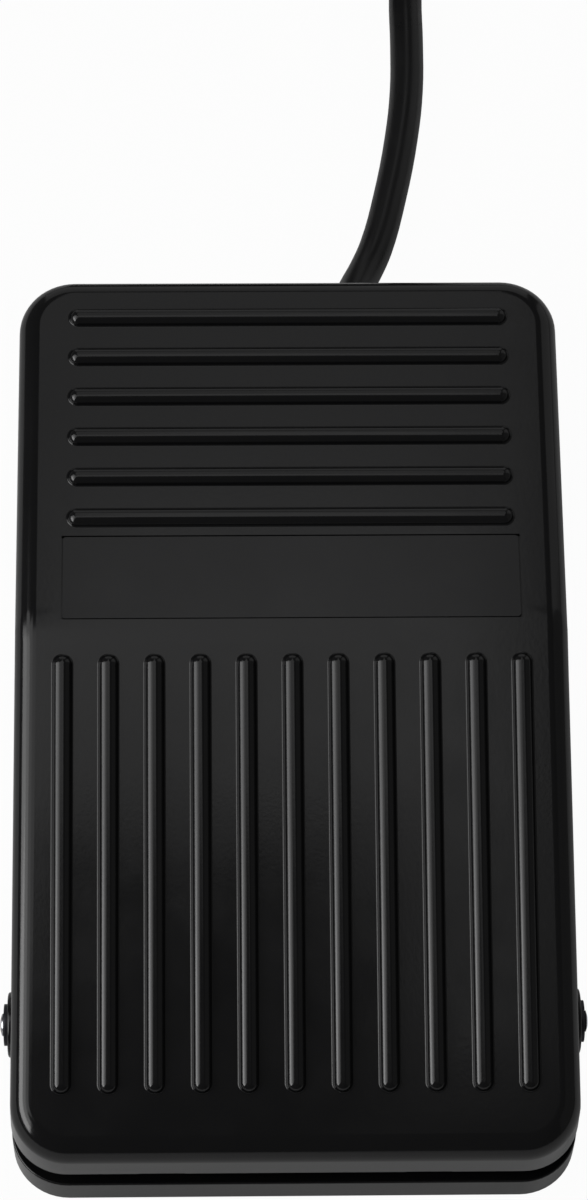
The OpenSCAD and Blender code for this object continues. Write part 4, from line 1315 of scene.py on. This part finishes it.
def shape_buckle(cord):
    """The tie's buckle at the origin: a rounded block with a window sunk into its top."""
    half_w, half_l, height = cord.tie_w / 2 + 0.5 * MM, 2.2 * MM, 2.6 * MM
    frame_w, window_slope, window_depth = 0.9 * MM, 0.2 * MM, 0.8 * MM
    buckle = block("buckle", (-half_w, -half_l, 0), (half_w, half_l, height))
    with editing(buckle):
        pick(buckle, "FACE", looks_up)
        bpy.ops.mesh.inset(thickness=frame_w)
        bpy.ops.mesh.inset(thickness=window_slope, depth=-window_depth)
    soften(buckle, width=0.3 * MM, segments=3)
    return buckle


class PEDAL_OT_tie(bpy.types.Operator):
    """Model the tie that holds the coil, with its buckle"""

    bl_idname = "pedal.tie"
    bl_label = "Cord tie"

    def execute(self, context):
        cord = context.scene.pedal_cord
        strap = merged_copy("cord_tie", "tie_strap")
        soften(strap, width=0.15 * MM)
        outward = Vector((math.cos(cord.tie_turn), math.sin(cord.tie_turn), 0))
        middle = Vector((cord.coil_x, cord.coil_y, 0)) + outward * (cord.coil_outer + cord.coil_r) / 2
        sunk = 0.4 * MM
        strap_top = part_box("cord_tie")[1].z
        buckle = lay(shape_buckle(cord), middle + UP * (strap_top - sunk), outward, UP)
        tie = join([strap, buckle])
        dress(tie, "base", tie_nylon(context.scene.pedal_colours), ["cord_tie"])
        return {"FINISHED"}


class PEDAL_OT_cord(bpy.types.Operator):
    """Run the cord out of the tray, into its coil and up to the plug"""

    bl_idname = "pedal.cord"
    bl_label = "Cord"

    def execute(self, context):
        cord = context.scene.pedal_cord
        jacket = round_bar("jacketed_cord", cord_route(cord), cord.diameter, steps=4, roundness=6)
        solids = ["cord_entry", "cord_lead", "cord_coil", "cord_tail"]
        dress(jacket, "base", extruded_pvc(context.scene.pedal_colours), solids)
        pieces = ("relief_sleeve", "plug_relief_sleeve", "plug_grip", "plug_can", "tie_strap")
        carried = [bpy.data.objects[name] for name in pieces]
        carried += [frame["nodes"][name] for name in ("plug_tongue", "plug_contacts")]
        return {"FINISHED"}


# Parts inside, which keep their CAD shapes


class PEDAL_OT_inner_parts(bpy.types.Operator):
    """Give the parts inside the tray and the plug their finishes"""

    bl_idname = "pedal.inner_parts"
    bl_label = "Inner parts"

    def execute(self, context):
        colours = context.scene.pedal_colours
        # Screws are headed and plated: bright, with no direction in their grain.
        screw_plate = nickel_plate(colours, "nickel_plated_screw", (1, 1, 1))
        # Tinned copper is pale and soft-looking, a little cloudy where it was dipped.
        tin = metal("tinned_copper", colours.tin, 0.36, grain=0.2, depth=0.006)
        # Natural nylon is milky white with a dull skin.
        nylon = surface("natural_nylon", colours.nylon_white, 0.45, grain=0.4, depth=0.008)
        # Glass-filled nylon shows a dull skin with short pale fibres in it.
        clamp = surface(
            "glass_filled_black_nylon", colours.nylon_black, 0.5, grain=0.35, depth=0.015, stretch=(3, 1, 1),
            tint=0.3,
        )
        # Stamped brass shows its rolling lines and a brown tarnish.
        brass = metal("stamped_brass", colours.brass, 0.3, grain=0.2, depth=0.005, stretch=(1, 1, 4))
        # Rolled stainless steel shows fine lines along the strip.
        stainless = metal("rolled_stainless_steel", colours.steel, 0.28, stretch=(1, 6, 1))
        finishes = {
            "circuit_board": glass_laminate(colours),
            "board_screws": screw_plate,
            "clamp_screws": screw_plate,
            # Epoxy mould compound is matt black with a sandy skin.
            "controller_chip": surface("epoxy_mould_compound", colours.epoxy, 0.62, grain=0.12, depth=0.01),
            "chip_leads": tin,
            "crystal": tin,
            # Shrunk PVC sleeve is glossy, with a slight orange peel.
            "capacitors": surface("shrunk_pvc_sleeve", colours.sleeve, 0.22, grain=0.8, depth=0.01),
            "wire_connector": nylon,
            "plug_tongue": nylon,
            # Phenolic is hard and smooth, with a dull mottled skin.
            "switch_case": surface("moulded_phenolic", colours.switch, 0.4, grain=0.3, depth=0.008, tint=0.2),
            "switch_terminals": brass,
            "switch_lever": stainless,
            # Acetal is a waxy white.
            "switch_plunger": surface("moulded_acetal", colours.acetal, 0.38, grain=0.4, depth=0.004),
            "cord_clamp": clamp,
            # Gold plating is warm and bright, with a fine satin grain.
            "plug_contacts": metal("gold_plated_contact", colours.gold, 0.25, grain=0.1, depth=0.003),
        }
        for node, material in finishes.items():
            piece = frame["nodes"][node]
            piece.data.materials.clear()
            piece.data.materials.append(material)
        return {"FINISHED"}


# Stage


def place_camera(context, stage):
    """The camera looks down at the pedal from in front of its heel."""
    camera = bpy.data.objects.new("camera", bpy.data.cameras.new("camera"))
    context.scene.collection.objects.link(camera)
    camera.data.lens = stage.lens
    camera.data.sensor_width = 36
    camera.data.clip_start = 0.01
    turn = Matrix.Rotation(stage.azimuth, 4, "Z") @ Matrix.Rotation(math.pi / 2 - stage.elevation, 4, "X")
    turn = turn @ Matrix.Rotation(stage.roll, 4, "Z")
    target = Vector((stage.target_x, stage.target_y, stage.target_z))
    camera.matrix_world = Matrix.Translation(target) @ turn @ Matrix.Translation((0, 0, stage.distance))
    context.scene.camera = camera


def lay_floor(context):
    """A plain pale floor with the pedal's shadow on it, which the camera sees as white.

    Reflections show it greyer, as a black moulding shows the paper that it stands on.
    """
    seen_share, mirrored_share = 0.97, 0.1
    floor = add_primitive(bpy.ops.mesh.primitive_plane_add, "floor", size=12)
    material, tree, shader = new_finish("white_paper")
    shader.inputs["Base Color"].default_value = shade_of(context.scene.pedal_colours.floor, 1)
    shader.inputs["Roughness"].default_value = 0.9
    ray = add_node(tree, "ShaderNodeLightPath").outputs

    def combined(operation, a, b):
        return add_node(tree, "ShaderNodeMath", {0: a, 1: b}, operation=operation).outputs[0]

    mirrored = combined("MAXIMUM", ray["Is Glossy Ray"], ray["Is Transmission Ray"])
    dimmed = combined("MULTIPLY", mirrored, mirrored_share)
    seen = combined("MULTIPLY", ray["Is Camera Ray"], seen_share)
    share = combined("MAXIMUM", seen, dimmed)
    glow = add_node(tree, "ShaderNodeEmission", {"Color": (1, 1, 1, 1), "Strength": 1.0})
    mix = add_node(tree, "ShaderNodeMixShader", {0: share, 1: shader.outputs[0], 2: glow.outputs[0]})
    tree.links.new(mix.outputs[0], tree.nodes["Material Output"].inputs["Surface"])
    floor.data.materials.append(material)


def add_panel(name, normal, low, high, radiance):
    """A soft box that fills the flat box between two corners and shines along its normal.

    Radiance 1 shows as white in a mirror.
    """
    low, high = Vector(low), Vector(high)
    spans = high - low
    lamp = bpy.data.lights.new(name, "AREA")
    lamp.shape = "RECTANGLE"
    facing = normal.to_track_quat("-Z", "Y").to_matrix().to_4x4()
    local = facing.inverted() @ spans
    lamp.size, lamp.size_y = abs(local.x), abs(local.y)
    lamp.energy = radiance * math.pi * lamp.size * lamp.size_y
    light = bpy.data.objects.new(name, lamp)
    light.matrix_world = Matrix.Translation((low + high) / 2) @ facing
    bpy.context.scene.collection.objects.link(light)


def hang_lights():
    """Panels where the moulding mirrors them, brightest low on the left."""
    left, right, back = -0.55, 0.55, 0.75
    foot, sill, rail, top = 0.05, 0.18, 0.43, 0.75
    # Panels under the ceiling: their sides from left to right and from front to back, and their radiance.
    ceiling = (
        ("overhead", (-0.07, 0.083), (-0.091, 0.335), 0.59),
        ("overhead_front", (0.05, 0.08), (-0.16, -0.091), 0.55),
        ("overhead_back", (-0.1, 0.1), (0.335, back), 0.35),
        ("overhead_left", (-0.3, -0.07), (-0.14, 0.12), 0.8),
        ("overhead_far_left", (left, -0.3), (-0.3, 0.2), 1.1),
    )
    for name, (x0, x1), (y0, y1), radiance in ceiling:
        add_panel(name, -UP, (x0, y0, top), (x1, y1, top), radiance)
    add_panel("behind", -BACK, (-0.35, back, foot), (0.35, back, 0.6), 0.28)
    # Panels on the side walls: the wall, their ends from front to back, their heights and their radiance.
    walls = (
        ("left_high", left, (-0.45, 0.11), (rail, top), 2.2),
        ("left_low_front", left, (-0.45, -0.01), (sill, rail), 5.0),
        ("left_low_back", left, (-0.01, 0.11), (sill, rail), 2.8),
        ("left_high_back", left, (0.11, 0.285), (rail, top), 1.2),
        ("left_low_end", left, (0.11, 0.16), (sill, rail), 2.0),
        ("right_back", right, (0.25, back), (foot, top), 0.25),
        ("right_front", right, (-0.45, 0.25), (foot, top), 0.05),
    )
    for name, x, (y0, y1), (z0, z1), radiance in walls:
        inward = RIGHT if x == left else -RIGHT
        add_panel(name, inward, (x, y0, z0), (x, y1, z1), radiance)


def paint_room():
    """A dim room, which the camera sees as white behind the floor's far edge."""
    world = bpy.data.worlds.new("dim_room")
    world.use_nodes = True
    tree = world.node_tree
    grey = 0.08
    dim = tree.nodes["Background"]
    dim.inputs["Color"].default_value = (grey, grey, grey, 1)
    ray = add_node(tree, "ShaderNodeLightPath")
    white = add_node(tree, "ShaderNodeBackground", {"Color": (1, 1, 1, 1), "Strength": 1.0})
    mix = add_node(
        tree, "ShaderNodeMixShader", {0: ray.outputs["Is Camera Ray"], 1: dim.outputs[0], 2: white.outputs[0]}
    )
    tree.links.new(mix.outputs[0], tree.nodes["World Output"].inputs["Surface"])
    bpy.context.scene.world = world


class PEDAL_OT_stage(bpy.types.Operator):
    """Set up the camera, the floor and the light"""

    bl_idname = "pedal.stage"
    bl_label = "Stage"

    def execute(self, context):
        place_camera(context, context.scene.pedal_stage)
        lay_floor(context)
        hang_lights()
        paint_room()
        context.scene.view_settings.view_transform = "Standard"
        return {"FINISHED"}


# Add-on


OPERATORS = (
    PEDAL_OT_stage, PEDAL_OT_plug, PEDAL_OT_tie, PEDAL_OT_strain_relief, PEDAL_OT_cord,
    PEDAL_OT_treadle, PEDAL_OT_label, PEDAL_OT_tray, PEDAL_OT_feet, PEDAL_OT_pivot, PEDAL_OT_springs,
    PEDAL_OT_core_wires, PEDAL_OT_inner_parts,
)
SETTINGS = {
    "pedal_treadle": PedalTreadle,
    "pedal_base": PedalBase,
    "pedal_cord": PedalCord,
    "pedal_stage": PedalStage,
    "pedal_colours": PedalColours,
}


class PEDAL_PT_sidebar(bpy.types.Panel):
    """Lists the steps that dress the pedal"""

    bl_idname = "PEDAL_PT_sidebar"
    bl_label = "Foot pedal switch"
    bl_space_type = "VIEW_3D"
    bl_region_type = "UI"
    bl_category = "Pedal"

    def draw(self, context):
        column = self.layout.column()
        for operator in OPERATORS:
            column.operator(operator.bl_idname)
        for name, group in SETTINGS.items():
            box = self.layout.box()
            settings = getattr(context.scene, name)
            for prop in group.__annotations__:
                box.prop(settings, prop)


CLASSES = (*SETTINGS.values(), *OPERATORS, PEDAL_PT_sidebar)


def register():
    """Register the add-on's classes and its settings on the scene."""
    for cls in CLASSES:
        bpy.utils.register_class(cls)
    for name, group in SETTINGS.items():
        setattr(bpy.types.Scene, name, bpy.props.PointerProperty(type=group))


def unregister():
    """Remove the add-on's settings and classes."""
    for name in SETTINGS:
        delattr(bpy.types.Scene, name)
    for cls in reversed(CLASSES):
        bpy.utils.unregister_class(cls)


def main():
    """Build the scene in order."""
    register()
    bpy.ops.pedal.stage()
    # The cord looks up the plug, the tie and the strain relief by name, so it comes after them.
    bpy.ops.pedal.plug()
    bpy.ops.pedal.tie()
    bpy.ops.pedal.strain_relief()
    bpy.ops.pedal.cord()
    bpy.ops.pedal.treadle()
    bpy.ops.pedal.label()
    bpy.ops.pedal.tray()
    bpy.ops.pedal.feet()
    bpy.ops.pedal.pivot()
    bpy.ops.pedal.springs()
    bpy.ops.pedal.core_wires()
    bpy.ops.pedal.inner_parts()


if __name__ == "__main__":
    main()
